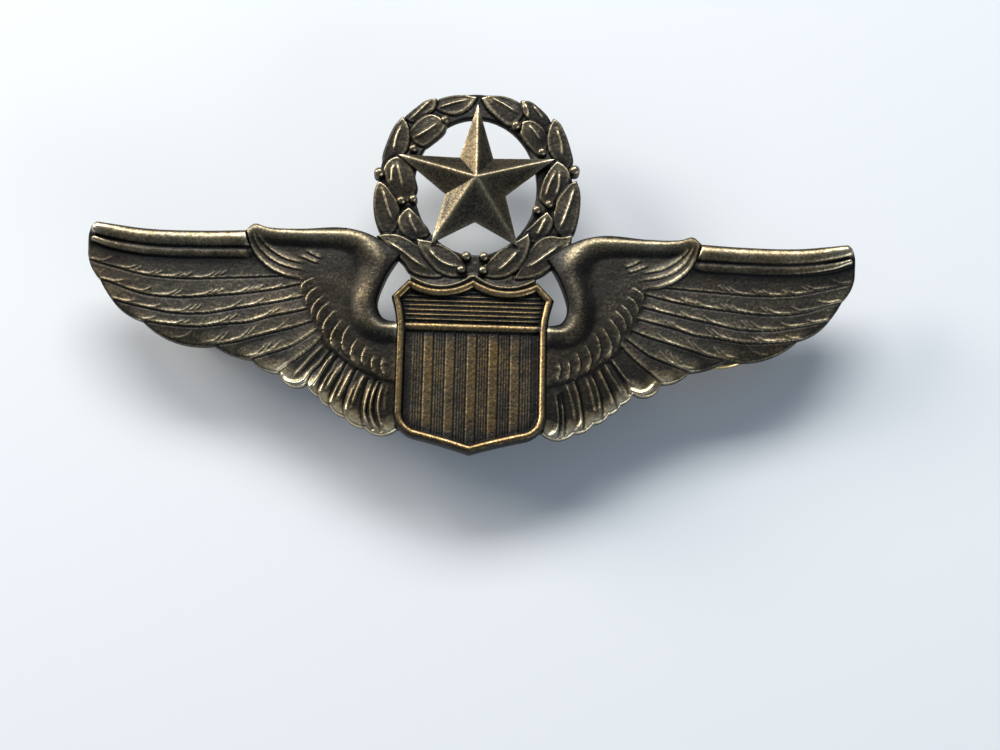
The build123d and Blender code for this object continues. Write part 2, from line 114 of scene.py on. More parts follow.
SHOULDER_EDGE = [(9, 2.7), (11, 3.5), (13.5, 3.9), (17, 3.6), (20.2, 3.6), (21.6, 3.95), (22.5, 3.3)]
LEADING_EDGE = [(22.5, 3.3), (26, 3.1), (31, 3.05), (35, 3.4), (37.2, 3.7)]
TIP_EDGE = [(37.2, 3.7), (37.95, 2.8), (37.95, 0.8)]
NECK_WINDOW = [(7, -5.7), (8.7, -5.25), (9.3, -3.6), (8.5, -1), (7.2, 1.3)]
TRAILING_TIPS = [             # one arc for each feather tip, as (point on the arc, end of the arc)
    ((37.6, -0.6), (36.6, -2)), ((36, -3.05), (35.3, -4)), ((33.9, -5.35), (32.15, -6.15)),
    ((29.2, -8.05), (25, -8.45)), ((23.2, -9.35), (21.3, -9.75)), ((20, -10.75), (18.55, -11)),
    ((17.2, -12.35), (15.85, -12.05)), ((15.3, -12.85), (14.65, -13.2)), ((14.1, -13.95), (13.5, -14.2)),
    ((12.8, -14.95), (12, -15.2)), ((11.1, -16), (10.1, -16.2)), ((8.6, -16.9), (7, -16.3)),
]
# half-round ridges, as (x, y, half width)
LEADING_BEAD = [
    (21.8, 2.4, 0.9), (26, 2.25, 0.9), (30, 2.2, 0.9), (33, 2.35, 0.85), (35.5, 2.75, 0.8),
    (37, 3.02, 0.68),
]
SECOND_RIDGE = [
    (21.5, 1, 0.52), (25, 0.9, 0.52), (29, 0.85, 0.52), (32.5, 1, 0.5), (35.5, 1.45, 0.42),
    (37.3, 2, 0.3),
]
BEAD_TOP, SECOND_TOP = 1.95, 1.50
BEAD_FOOT, SECOND_FOOT, BEAD_FOOT_SLOPE = 1.35, 1.20, 1.2
BEAD_BLEND, BEAD_DIP, BEAD_DIP_SPAN = 0.03, 0.30, (22.5, 21.6)
BEADS_FROM, LEAST_HALF = 21.4, 0.1                 # x where the beads begin, least half width
NECK_SPREAD, NECK_TOP = 2.0, 1.85
NECK = [
    (22.1, 3.1, 0.42), (21.3, 3.35, 0.6), (20, 3.05, 0.66), (17, 2.95, 0.68), (14, 3, 0.75),
    (12.2, 2.9, 0.9), (10.9, 2.35, 1), (10, 1.2, 1.1), (9.5, -0.2, 1.15), (9.85, -1.9, 1.1),
    (10.3, -3.7, 1), (10.15, -5.2, 0.95), (9.5, -6.1, 0.85), (8.5, -6.45, 0.78), (6.6, -6.4, 0.75),
]

# lower edge of each row of feathers, from the uppermost row down, each from the wing's tip inwards
ROW_EDGES = [
    [(38.2, 0.1), (36.5, -0.45), (34.6, -0.95), (32.5, -1.5), (31, -1.7), (28, -1.85), (24, -1.65),
     (20, -1.4), (17, -1.2)],
    [(36.9, -1.95), (35.2, -2.45), (33.5, -3.1), (31.5, -3.6), (28.5, -3.75), (25.5, -3.5),
     (22.5, -3.2), (19.5, -2.7), (16.5, -2)],
    [(35.4, -4), (33.5, -4.5), (31.5, -4.95), (29, -5.35), (26, -5.3), (23.5, -4.8), (20.5, -4.25),
     (17.8, -3.65), (16, -3.2)],
    [(32.3, -6.1), (30, -6.45), (27, -6.65), (24, -6.3), (21.8, -6.05), (19.8, -5.45), (17.8, -5),
     (15.8, -4.5)],
    [(25.2, -8.4), (23, -8.05), (21.5, -7.6), (19.5, -7.05), (17.5, -6.5), (15.5, -5.8)],
    [(21.4, -9.7), (19.5, -9.1), (17.6, -8.4), (16.6, -7.8), (15.1, -6.7)],
    [(18.8, -11), (17.2, -9.8), (15.6, -8.5), (14.6, -7.4)],
]
# each row rises towards its lower edge over ROW_REACH, the first rows less, with a fine crest on it
ROW_RISE, ROW_REACH = (0.04, 0.09, 0.12, 0.13, 0.14, 0.15, 0.15), 1.5
ROW_CREST, ROW_CREST_WIDTH = 0.035, 0.14
GROOVE, GROOVE_WIDTH = 0.07, 0.13

# raised barbs on the rows, as (row, x of the inboard end, rise over the row's edge, ticks beside it)
BARBS = [
    (0, 35.5, 0.95, 0), (0, 33, 0.8, 1), (0, 31, 0.6, 1), (0, 28.6, 0.6, 2), (0, 25.2, 0.75, 2),
    (1, 34.2, 0.75, 0), (1, 31.4, 0.9, 0), (1, 28.9, 0.75, 1), (1, 25.4, 0.6, 2), (1, 21.9, 0.6, 3),
    (1, 18.6, 0.45, 0), (2, 32.9, 0.55, 0), (2, 30.4, 0.65, 0), (2, 27.4, 0.9, 2), (2, 22.6, 0.7, 0),
    (2, 20.4, 0.6, 0), (2, 17.6, 0.35, 0), (3, 30.8, 0.6, 0), (3, 28, 0.6, 1), (3, 23.5, 0.9, 1),
    (3, 19.4, 0.65, 1), (4, 24.2, 1.05, 1), (4, 21.6, 0.95, 1), (4, 18.2, 0.7, 0), (5, 20, 1, 1),
    (5, 18.5, 0.95, 0),
]
TRAILING_BARBS = [[(27.2, -7.0), (27.6, -7.5), (28.4, -7.8), (29.6, -7.75)]]
BARB_HEIGHT, BARB_WIDTH, TICK_SPACING = 0.040, 0.090, 0.45
# a barb's and a tick's line, as (offset, share of its rise) and then (offset, height) of its end
BARB_SHAPE, BARB_END = ((0, 1), (0.4, 0.62), (1.016, 0.3)), (2.6, 0.12)
TICK_SHAPE, TICK_END = ((-0.1, 1.05), (0.3, 0.6)), (0.75, 0.22)

# edge between the shoulder and scale feathers and the long feathers they lie on
COVERT_EDGE = [
    (22.5, 3.3), (22.35, 2.5), (22, 1.6), (21.3, 0.5), (20, -0.7), (18.4, -1.4), (17.1, -1.6),
    (16.95, -2.6), (16.6, -3.6), (16.1, -4.9), (15.5, -6.1), (14.7, -7.3), (13.9, -8.4), (12.7, -9.3),
    (11.2, -10.3), (9.4, -11.1), (8.3, -11.5), (6, -11.9),
]
COVERT_SOFT, COVERT_RISE = 0.3, 0.12
SHOULDER_POINT_RISE, SHOULDER_POINT_X_SPAN, SHOULDER_POINT_Y_SPAN = 0.35, (19.5, 22), (0, 2.5)
FAN_WEAR, FAN_WEAR_SPAN, FAN_WEAR_LEAST = 0.60, (24, 18), 0.22
BARB_WEAR, LAYER_WEAR = 0.08, 0.12
# wear and painted light on the leading bead: its upper side, which faces the light, is painted lighter
# and its lower side is painted darker, as (most, slope across the bead, shift towards its upper side,
# least, which is the painted shade)
BEAD_WEAR_AND_PAINTED_LIGHT, BEAD_PAINTED_LIGHT_SLOPE, BEAD_PAINTED_LIGHT_SHIFT, BEAD_PAINTED_SHADE_LEAST = 0.12, 1.5, 0.45, -0.2
# the neck is made a little darker; the shoulder's upper part gets a painted highlight that grows over the
# span of y
NECK_LESS_WEAR, SHOULDER_PAINTED_HIGHLIGHT, SHOULDER_HIGHLIGHT_SPAN = 0.09, 0.19, (0.5, 2)
# the second ridge, below the leading bead, is made darker
SECOND_RIDGE_DARKENING = 0.06
# painted shade on the first row of feathers below the second ridge, as (how dark, gap below the ridge,
# reach)
FIRST_ROW_PAINTED_SHADE, FIRST_ROW_GAP, FIRST_ROW_REACH = 0.10, 0.5, 1.6
# raised edges of the scale feathers, from the shoulder down to the shield
SCALES = [
    [(15.6, -1.4), (16.3, -1.7), (16.85, -2.3), (16.7, -3)],
    [(15.2, -2.3), (15.9, -2.8), (16.3, -3.5), (16.2, -4.4)],
    [(14.6, -3.2), (15.3, -3.8), (15.75, -4.7), (15.6, -5.6)],
    [(14, -3.8), (14.7, -4.4), (15.15, -5.4), (15, -6.3)],
    [(13.4, -4.6), (14.1, -5.4), (14.55, -6.4), (14.3, -7.6)],
    [(12.7, -5.5), (13.4, -6.5), (13.75, -7.5), (13.6, -8.3), (13, -8.9)],
    [(11.9, -6.1), (12.45, -6.9), (12.65, -7.9), (12.5, -8.7), (12, -9.5)],
    [(11.1, -7.4), (11.6, -8.2), (11.75, -9.1), (11.5, -9.8), (11, -10.3)],
    [(10.3, -8.2), (10.6, -9), (10.65, -9.8), (10.2, -10.7)],
    [(9.5, -9.1), (9.7, -9.8), (9.6, -10.6), (9.1, -11.1)],
    [(8.6, -9.3), (8.75, -10), (8.6, -10.8), (8.2, -11.4)],
]
# layered feathers of the shoulder patch, as raised edges from its point down
SHOULDER_LAYERS = [
    [(22.3, 3), (22.2, 2.3), (21.9, 1.5), (21.2, 0.45), (19.9, -0.65), (18.3, -1.35), (16.6, -1.7)],
    [(21.7, 2.6), (21.3, 1.7), (20.5, 0.75), (19.4, 0), (18, -0.5), (16.4, -0.8)],
    [(21.1, 2.4), (20.3, 1.5), (19.3, 0.8), (18.2, 0.3), (16.6, -0.05)],
]
SHOULDER_TUFTS = [
    [(17.3, 0.75), (16.5, 0.45), (15.8, 0.15), (15.2, 0)],
    [(16.6, 1.3), (16, 0.95), (15.4, 0.65), (14.9, 0.55)],
]
EDGE_CREST_WIDTH, EDGE_GROOVE = 0.28, 0.042
# (lines, crest, share of the crest that they have, whether their first end is blunt)
RAISED_EDGES = (
    (SCALES, 0.17, 1, False), (SHOULDER_LAYERS, 0.20, 1, True), (SHOULDER_TUFTS, 0.20, 0.6, False),
)
# raised lines on the short fan feathers of each wing, as (relief, points)
FAN_RIDGES = {
    "left": [
        (0.07, [(8, -12), (8.2, -13.5), (8.2, -14.8)]),
        (0.15, [(8.4, -11.7), (8.75, -13), (8.85, -14.3), (8.6, -15.7), (8.15, -16.4)]),
        (0.15, [(8.9, -11.7), (9.35, -12.8), (9.6, -14), (9.55, -15.1), (9.2, -16), (8.6, -16.6)]),
        (0.15, [(9.3, -11.6), (9.8, -12.7), (10.1, -14), (10.15, -14.9), (9.9, -15.7), (9.5, -16.2)]),
        (0.17, [(10.3, -11), (10.7, -12), (11.1, -13.1), (11.4, -14.3)]),
        (0.13, [(11, -11.7), (11.5, -13), (11.85, -14.1), (11.95, -15)]),
        (0.17, [(11.5, -10.5), (12, -11.7), (12.5, -12.8), (12.75, -13.5)]),
        (0.13, [(12.3, -11), (13, -12.5), (13.35, -13.5), (13.45, -14.1)]),
        (0.17, [(12.2, -9.8), (13, -10.8), (13.5, -11.7), (13.85, -12.5)]),
        (0.13, [(13.2, -10.3), (13.9, -11.3), (14.4, -12.4), (14.55, -13.1)]),
        (0.2, [(13.3, -9), (14, -9.9), (14.6, -11), (15.2, -12), (15.55, -12.3)]),
        (0.15, [(13.7, -8.5), (14.5, -9.7), (15.5, -10.7), (16.1, -11.6), (16.8, -12), (17.8, -11.85),
         (18.3, -11.2)]),
        (0.15, [(14.3, -8.1), (15.5, -9.4), (16.4, -10.5), (17, -11.2)]),
    ],
    "right": [
        (0.13, [(8.2, -12.2), (8.5, -13.8), (8.6, -15.3), (8.3, -16.2), (7.5, -16.7)]),
        (0.13, [(8.95, -13.4), (9.05, -14.5), (9.05, -15.6)]),
        (0.14, [(9.2, -11.4), (9.7, -12.5), (10.1, -14), (10.25, -15.2)]),
        (0.15, [(9.8, -10.9), (10.4, -12.3), (10.7, -13.7), (10.85, -15.1), (10.4, -15.9)]),
        (0.15, [(11.1, -10.6), (11.7, -12), (12.1, -13.5), (12.25, -14.2)]),
        (0.14, [(11.7, -10.4), (12.3, -11.7), (12.6, -13), (12.7, -14.3)]),
        (0.16, [(12.4, -9.9), (13.1, -11.2), (13.7, -12.5), (14.05, -13.6)]),
        (0.14, [(12.9, -9.1), (13.6, -10.3), (14.4, -11.5), (14.9, -12.4)]),
        (0.18, [(13.4, -8.5), (14.3, -9.6), (15, -10.5), (15.8, -11.2)]),
        (0.13, [(15.5, -11.6), (16.3, -12), (17.2, -11.8), (18, -11)]),
    ],
}
# grooves between the fan feathers, from the outer one to the shield
FAN_EDGES = {
    "left": [
        [(15.9, -12.1), (15.4, -11), (14.6, -10.1), (13.9, -9.2), (13.4, -8.6)],
        [(14.7, -13.3), (14.6, -12.3), (13.9, -11), (13.3, -9.8), (12.9, -9.3)],
        [(13.6, -14.3), (13.5, -13.2), (12.9, -11.8), (12.3, -10.3), (12, -9.8)],
        [(12.05, -15.3), (12.2, -14), (11.9, -12.6), (11.4, -11.2), (11, -10.4)],
        [(10.2, -16.2), (10.5, -14.6), (10.3, -12.8), (9.9, -11.4)],
        [(9.35, -16.4), (9.85, -14.5), (9.6, -12.7), (9.1, -11.5)],
        [(8.5, -16.6), (9.15, -14.8), (9.1, -13.2), (8.7, -11.8)],
    ],
    "right": [
        [(15.5, -12.2), (15.1, -11.3), (14.4, -10.2), (13.6, -9)],
        [(14.4, -13.6), (13.9, -12.2), (13.3, -10.9), (12.8, -9.8)],
        [(12.95, -14.8), (12.95, -14), (12.75, -12.6), (12.3, -11.2), (11.9, -10.3)],
        [(11.1, -15.8), (11.1, -14.9), (10.9, -13.2), (10.6, -11.8), (10.2, -10.8)],
        [(9.3, -16.5), (9.3, -15.3), (9.2, -13.8), (8.9, -12.3)],
        [(8.7, -16.7), (8.8, -15.4), (8.75, -14), (8.55, -12.5)],
    ],
}
RIDGE_WIDTH = 0.16
FAN_GROOVE, FAN_TIP_LIFT, FAN_TIP_REACH, FAN_TIP_SPAN = 0.11, 0.12, 1.5, (18.5, 16.5)

# ------------- plate behind the shield
BRIDGE_STEP, BRIDGE_BOX = 0.3, (-7.2, 7.2, -16.5, -3.3)
BRIDGE_HALF, BRIDGE_TAPER, BRIDGE_SHOULDER = 7.0, 0.27, -5.7
BRIDGE_LOW, BRIDGE_HIGH = -16.3, -3.5
SHIELD_GAP, SHIELD_OVERLAP = 0.02, 0.15            # below the shield's back, and in from its outline

# ------------- shield (right half)
SHIELD_STEP, SHIELD_BOX = 0.052, (-8.2, 8.2, -19.0, -1.0)
SHIELD_EDGE = [
    (0, -1.25), (3.2, -2.35), (6.3, -1.45), (7.95, -3.25), (7.55, -4.8), (7.35, -6.3), (7.35, -14.9),
    (6.85, -16.35), (5.3, -17.35), (2.7, -18), (0, -18.8),
]
SHIELD_FLOOR, SHIELD_RIM = 0.70, 1.35
RIM_CREST, RIM_WIDTH, RIM_SIDE = 0.38, 0.85, 1.25
BAR_LOW, BAR_HIGH, BAR_RELIEF = -6.66, -5.78, 0.42
CHIEF_PITCH, CHIEF_TOP_LINE, CHIEF_RELIEF = 0.47, -3.10, 0.17
STRIPES = (-4.15, -2.05, 0.05, 2.15, 4.25)
STRIPE_WIDTH, STRIPE_SOFT, STRIPE_RELIEF = 0.92, 0.06, 0.085
# fine lines between the stripes, as (first, last, how many)
LINE_GROUPS = [
    (-5.62, -4.84, 4), (-3.47, -2.73, 4), (-1.37, -0.63, 4), (0.73, 1.47, 4), (2.83, 3.57, 4),
    (4.93, 5.71, 4),
]
LINE_RELIEF, LINE_WIDTH, ROLL_FLATNESS = 0.075, 0.078, 0.7

# ------------- wreath
WREATH_STEP, WREATH_BOX = 0.065, (-10.8, 10.8, -3.6, 19.2)
RING_Y = 8.9
RING_INNER, RING_OUTER = (6.1, 7.25), (9.7, 9.9)
RING_GROUND = 0.74
LEAF_LOW, LEAF_LIFT = 0.80, 0.24          # height at a leaf's base, and how much its tip rises
LIP, LIP_PLACE, LIP_WIDTH = 0.035, 0.20, 0.16
LIP_RUB, LIP_RUB_WIDTH = (-0.07, 0.14), 0.22          # wear of a leaf's edge, and how it grows outwards
LEAF_CAMBER, LEAF_CAMBER_REACH = 0.06, 1.2
LEAF_DROP, LEAF_DROP_REACH = 0.11, 0.14
LEAF_GROOVE, LEAF_GROOVE_WIDTH = 0.05, 0.14
WREATH_LESS_WEAR = 0.03
VEIN, VEIN_WIDTH, VEIN_WEAR = 0.12, 0.12, 0.20
# leaves from the lowest to the uppermost, as (outline from the tip round, then each vein from the base)
LEAVES = [
    ([(0, 18.4), (-1.5, 18.65), (-3, 18.5), (-4.2, 18), (-4.4, 17.1), (-3.7, 16.6), (-2.6, 16.3),
     (-1.5, 16.6), (-0.6, 17.4)], [(-4, 17.1), (-2.6, 17.65), (-1.2, 18)]),
    ([(-4.15, 18.2), (-5.2, 17.95), (-6.2, 17.2), (-7.4, 16.05), (-7.2, 15.6), (-6.3, 15.4), (-5, 16.3),
     (-4.2, 17.1)], [(-6.8, 15.7), (-5.8, 16.8), (-4.9, 17.7)]),
    ([(-3.8, 16.1), (-4.6, 16.4), (-5.5, 16.1), (-6.4, 15.3), (-6.9, 14.3), (-6.3, 13.2), (-5.3, 12.8),
     (-4.3, 13.5), (-3.3, 14.5), (-3.1, 15.3)], [(-6.3, 13.8), (-5.2, 14.5), (-4.1, 15.3)]),
    ([(-7.55, 16.15), (-8.4, 15), (-9, 13.5), (-9.45, 11.8), (-9.2, 10.9), (-8, 11.2), (-6.9, 12.4),
     (-6.7, 14), (-6.95, 15.2)], [(-8.3, 12.3), (-8.1, 13.7), (-7.7, 14.9)]),
    ([(-8, 11.75), (-8.8, 11.3), (-9.3, 10.3), (-9, 9), (-8, 7.2), (-6.6, 6.9), (-5.8, 8.2),
     (-5.95, 9.3), (-6.4, 10.6), (-7.2, 11.4)], [(-7.2, 8.3), (-7.55, 9.7), (-7.95, 10.9)],
     [(-8.4, 8.8), (-8.4, 9.8), (-8.3, 10.8)]),
    ([(-9.75, 9.15), (-10.1, 8), (-10.15, 6.5), (-9.9, 5), (-9.2, 3.5), (-8, 3.6), (-7.4, 5),
     (-7.5, 6.6), (-8.2, 7.7), (-8.9, 8.6)], [(-8.1, 4.9), (-8.5, 5.8), (-8.85, 6.9), (-9.3, 8.2)]),
    ([(-6.6, 6.4), (-7.3, 5.8), (-7.65, 4.9), (-7.3, 3.7), (-6.2, 2.9), (-4.6, 3.3), (-4.5, 4.1),
     (-5.1, 4.9), (-5.9, 5.8)], [(-5.6, 3.6), (-6.15, 4.5), (-6.55, 5.7)]),
    ([(-9.7, 3.3), (-8.8, 3.55), (-7.6, 3.5), (-6.3, 2.95), (-5, 2), (-3, 0), (-3.2, -0.9), (-5, -0.9),
     (-6.3, -0.4), (-7, 0.5), (-8.2, 1.6), (-9.1, 2.6)], [(-4.8, 0.1), (-6, 0.9), (-7.2, 1.8),
     (-8.5, 2.6)]),
    ([(-5.75, 3.1), (-5.4, 1.9), (-4.7, 0.8), (-3.6, -0.3), (-2.2, -0.85), (-0.9, -0.6), (-0.7, 0.5),
     (-1.5, 1.5), (-2.7, 2.4), (-4.2, 2.9)], [(-1.6, 0.35), (-2.6, 0.5), (-3.6, 1.05), (-4.5, 2)]),
    ([(0.25, 18.3), (1.2, 18.65), (2.5, 18.7), (3.7, 18.35), (4.6, 17.7), (4.7, 16.6), (3.9, 15.6),
     (3.1, 15.3), (2.2, 15.9), (1.4, 16.6), (0.8, 17.3)], [(4, 16.85), (2.7, 17.65), (1.5, 18.25)]),
    ([(4.3, 18.25), (5.3, 18.2), (6.2, 17.6), (7.1, 16.7), (7.5, 15.7), (7, 14.8), (5.9, 15.6),
     (4.9, 16.3), (4.5, 17.3)], [(6.7, 16.2), (6.2, 16.9), (5.6, 17.6)], [(5.1, 16.3), (5.1, 17),
     (4.7, 17.8)]),
    ([(4.5, 15.9), (5.3, 16.1), (6.1, 15.8), (6.9, 15.1), (7.3, 14), (7, 12.8), (6.2, 12.2),
     (5.4, 12.9), (4.7, 13.7), (4.3, 14.7)], [(6.5, 13.9), (5.9, 14.7), (5.2, 15.5)]),
    ([(7.65, 16.45), (8.4, 15.9), (9, 14.7), (9.45, 13.3), (9.75, 11.8), (9.2, 10.9), (8.1, 11.5),
     (7.3, 12.6), (7.1, 14), (7.2, 15.3)], [(8.65, 12.2), (8.5, 13.7), (8, 15.2)]),
    ([(8.1, 11.8), (8.9, 11.3), (9.5, 10.4), (9.3, 9.2), (8.3, 7.8), (7.2, 6.9), (6.4, 7.6), (6.5, 9),
     (6.9, 10.2), (7.5, 11.2)], [(7, 7.9), (7.35, 9.2), (7.9, 10.5)], [(8, 8), (8.35, 9.2),
     (8.35, 10.5)]),
    ([(10.15, 9.8), (10.5, 8.5), (10.5, 7), (10.3, 5.5), (9.8, 4), (8.7, 3.7), (7.9, 4.8), (7.8, 6.3),
     (8.1, 7.6), (8.8, 8.7), (9.5, 9.5)], [(8.45, 4.5), (8.95, 5.8), (9.5, 7.5), (9.85, 8.9)]),
    ([(7.2, 6.4), (6.4, 5.75), (5.5, 4.8), (4.7, 4), (4.7, 3.2), (6, 3), (7.1, 3.7), (7.7, 4.6),
     (7.85, 5.5)], [(6.2, 3.8), (6.6, 4.6), (7.05, 5.7)]),
    ([(9.75, 4.05), (8.7, 3.8), (7.4, 3.85), (6.4, 3.4), (5.6, 2.5), (4.6, 0.6), (4, -0.8), (5.3, -0.8),
     (6.6, -0.4), (7.9, 0.6), (8.9, 1.8), (9.6, 3)], [(5.4, 0.6), (6.1, 0.95), (7.2, 1.8), (8.4, 2.7)]),
    ([(5.4, 4.1), (5.6, 3), (5.4, 1.9), (4.9, 0.9), (3.9, -0.3), (2.4, -0.85), (1.1, -0.6), (1, 0.5),
     (1.8, 1.5), (2.7, 2.4), (4.3, 3.3)], [(2.4, 0), (3.4, 0.95), (4.3, 2)]),
]
BERRIES = [                  # (x, y, radius)
    (-0.75, 1.35, 0.5), (1, 1.35, 0.5), (-1.2, -0.05, 0.48), (0.95, -0.05, 0.48), (-3.25, 15.75, 0.47),
    (-6.35, 12.55, 0.44), (-7.35, 7, 0.48), (-6.2, 7.2, 0.44), (-9.65, 9.85, 0.54), (3.9, 15.4, 0.49),
    (6.55, 12.6, 0.47), (7.35, 7.1, 0.45), (6.15, 6.45, 0.46), (9.85, 10.75, 0.54),
]
BERRY_Z, BERRY_FOOT = 1.05, 0.3              # height of a berry's middle and of its foot
BERRY_WEAR = (0.2, 0.66)      # least and most
BERRY_WEAR_FROM, BERRY_WEAR_RISE = 0.75, 0.85          # height that it starts from, and rise to all of it
FOOT_BEAD, FOOT_BEAD_PLACE, FOOT_BEAD_WIDTH = 0.14, 0.62, 0.22   # bead along the top of the shield
FOOT = (6.2, -3.5, -0.3)                  # half width, low and high y of the foot behind the shield

# ------------- star
STAR_APEX = np.array((0.0, 9.15))
STAR_POINTS = [(0, 17.4), (1.68, 11.6), (7.8, 11.75), (2.97, 7.7), (4.28, 2.5), (0, 4.9)]
STAR_EDGE_H, STAR_TOP = 0.25, 1.65
STAR_DIVISIONS = 36
RIDGE_ROUND, RIDGE_LOSS, RIDGE_RUB_REACH = 0.24, 0.055, 0.32
STAR_WEAR, RIDGE_WEAR, STAR_SIDE_WEAR = 0.43, 0.20, 0.3
STAR_EDGE_WEAR, STAR_EDGE_FROM = 0.16, 0.86

# ------------- posts and clutches
POSTS = {"left": (-24.2, -2.4), "right": (24.2, -3.3)}
PAD_RADIUS = 2.4
SOLDER_REACH, SOLDER_HEIGHT, SOLDER_UNEVEN, SOLDER_WAVES = 0.5, 0.22, 0.45, 6
SOLDER_OVERLAP, SOLDER_AROUND, SOLDER_UP = 0.05, 96, 8
STAMPED_EDGE, POST_EDGE, DISC_EDGE = 0.07, 0.06, 0.08     # rounding of sheet, post and disc edges


# ------------- lines and distances
def smooth(points, per=8):
    """A smooth line through given points of any number of columns, with per steps to a span."""
    p = np.array(points, float)
    q = np.vstack([2 * p[0] - p[1], p, 2 * p[-1] - p[-2]])
    t = np.linspace(0, 1, per, endpoint=False)[:, None]
    spans = []
    for a, b, c, d in zip(q, q[1:], q[2:], q[3:]):
        spans.append(0.5 * (2 * b + (c - a) * t + (2 * a - 5 * b + 4 * c - d) * t**2
                            + (3 * b - a - 3 * c + d) * t**3))
    return np.vstack(spans + [p[-1:]])


def arc(start, via, end, steps=10):
    """Points on the circle through three points, without the first."""
    (ax, ay), (bx, by), (cx, cy) = start, via, end
    a, b, c = ax**2 + ay**2, bx**2 + by**2, cx**2 + cy**2
    d = 2 * (ax * (by - cy) + bx * (cy - ay) + cx * (ay - by))
    ux = (a * (by - cy) + b * (cy - ay) + c * (ay - by)) / d
    uy = (a * (cx - bx) + b * (ax - cx) + c * (bx - ax)) / d
    r = math.hypot(ax - ux, ay - uy)
    a0, a1, a2 = (math.atan2(py - uy, px - ux) for px, py in (start, via, end))
    turn = (a2 - a0) % (2 * math.pi)
    if (a1 - a0) % (2 * math.pi) > turn:
        turn -= 2 * math.pi
    angles = a0 + turn * np.arange(1, steps + 1) / steps
    return np.column_stack([ux + r * np.cos(angles), uy + r * np.sin(angles)])


def near(x, y, line, reach=60.0):
    """Distance from each point to a line, side (1 left of its direction, -1 right), place along it
    from 0 to 1, and its third column there. Points further than reach from its box keep FAR."""
    dist, side = np.full(x.shape, FAR), np.ones(x.shape)
    along, third = np.zeros(x.shape), np.zeros(x.shape)
    low, high = line[:, :2].min(0) - reach, line[:, :2].max(0) + reach
    box = (x > low[0]) & (x < high[0]) & (y > low[1]) & (y < high[1])
    px, py = x[box], y[box]
    best, s, t, w = np.full(px.shape, FAR), np.ones(px.shape), np.zeros(px.shape), np.zeros(px.shape)
    count = len(line) - 1
    for i in range(count):
        a, b = line[i], line[i + 1]
        dx, dy = b[0] - a[0], b[1] - a[1]
        u = np.clip(((px - a[0]) * dx + (py - a[1]) * dy) / (dx * dx + dy * dy), 0, 1)
        d = np.hypot(px - a[0] - u * dx, py - a[1] - u * dy)
        closer = d < best
        best[closer] = d[closer]
        cross = dx * (py - a[1]) - dy * (px - a[0])
        s[closer] = np.sign(cross[closer])
        t[closer] = (i + u[closer]) / count
        if line.shape[1] > 2:
            w[closer] = a[2] + u[closer] * (b[2] - a[2])
    dist[box], side[box], along[box], third[box] = best, s, t, w
    return dist, side, along, third


def left_of(x, y, line):
    """Distance from a line, positive on the left of its direction, and its third column there."""
    dist, side, _, third = near(x, y, line)
    return np.where(side > 0, dist, -dist), third


def polygon_inside(x, y, outline, reach=60.0):
    """Distance to a closed outline, positive inside it. Points beyond reach of its box get -FAR."""
    closed = np.vstack([outline, outline[:1]])
    dist = near(x, y, closed, reach)[0]
    odd = np.zeros(x.shape, bool)
    for (ax, ay), (bx, by) in zip(closed, closed[1:]):
        if ay == by:
            continue
        crosses = (ay > y) != (by > y)
        odd ^= crosses & (x < ax + (y - ay) * (bx - ax) / (by - ay))
    return np.where(odd, dist, -dist)


def within(outline):
    """The function that gives the distance inside an outline."""
    return lambda x, y: polygon_inside(x, y, outline)


def blur(field, sigma):
    """Gaussian blur of a grid, sigma in cells."""
    reach = int(math.ceil(3 * sigma))
    kernel = np.exp(-0.5 * (np.arange(-reach, reach + 1) / sigma) ** 2)
    kernel /= kernel.sum()
    for axis in (0, 1):
        size = field.shape[axis]
        padded = np.pad(field, [(reach, reach) if a == axis else (0, 0) for a in (0, 1)], mode="edge")
        field = sum(k * np.take(padded, range(i, i + size), axis) for i, k in enumerate(kernel))
    return field


def blur_kept(field, weight, sigma):
    """Blur that takes in only the points that have weight."""
    return blur(field * weight, sigma) / blur(weight, sigma)


def dome(distance, half_width):
    """Half-round profile: 1 on the middle line, 0 at half_width."""
    return np.sqrt(np.clip(1 - (distance / half_width) ** 2, 0, None))


def bell(distance, width):
    """Bell-shaped profile: 1 on the middle line."""
    return np.exp(-((distance / width) ** 2))


def fade(value, start, end):
    """0 before start and 1 after end, with a straight rise between. The end may be the lower one."""
    return np.clip((value - start) / (end - start), 0, 1)


def tapered(along, rates, least=(0, 0), start=0.0):
    """1 along a line and less towards its ends: the rate and the least value at each end, and the
    value that the rise from the first end starts at."""
    return np.clip(start + rates[0] * along, least[0], 1) * np.clip(rates[1] * (1 - along), least[1], 1)


def smooth_max(a, b, blend):
    """The higher of two heights, with the crease between them filled over about blend."""
    top = np.maximum(a, b)
    return top + blend * np.log1p(np.exp(-abs(a - b) / blend))


# ------------- relief of the wings
def wing_outline():
    """Closed outline of the right wing, which runs under the shield's side."""
    points = [smooth(SHOULDER_EDGE), smooth(LEADING_EDGE)[1:], smooth(TIP_EDGE)[1:]]
    start = TIP_EDGE[-1]
    for via, end in TRAILING_TIPS:
        points.append(arc(start, via, end))
        start = end
    points.append(smooth(NECK_WINDOW))
    return np.vstack(points)


def trailing_line():
    """The trailing edge as straight spans, from the wing's tip to the shield."""
    return np.vstack([TIP_EDGE[-1]] + [point for tip in TRAILING_TIPS for point in tip])


def row_relief(x, y, base):
    """Feathers laid over one another: each is highest at its own lower edge."""
    height = base.copy()
    free = np.ones(x.shape, bool)
    gap = np.full(x.shape, FAR)
    for edge, rise in zip(ROW_EDGES, ROW_RISE):
        d, side, _, _ = near(x, y, smooth(edge, 5))
        mine = free & (side < 0)
        height[mine] += rise * np.clip(1 - d[mine] / ROW_REACH, 0, 1)
        height[mine] += ROW_CREST * bell(d[mine], ROW_CREST_WIDTH)
        height[mine] -= GROOVE * bell(gap[mine], GROOVE_WIDTH)
        gap = np.where(free & ~mine, d, gap)
        free &= ~mine
    height[free] -= GROOVE * bell(gap[free], GROOVE_WIDTH)
    return height


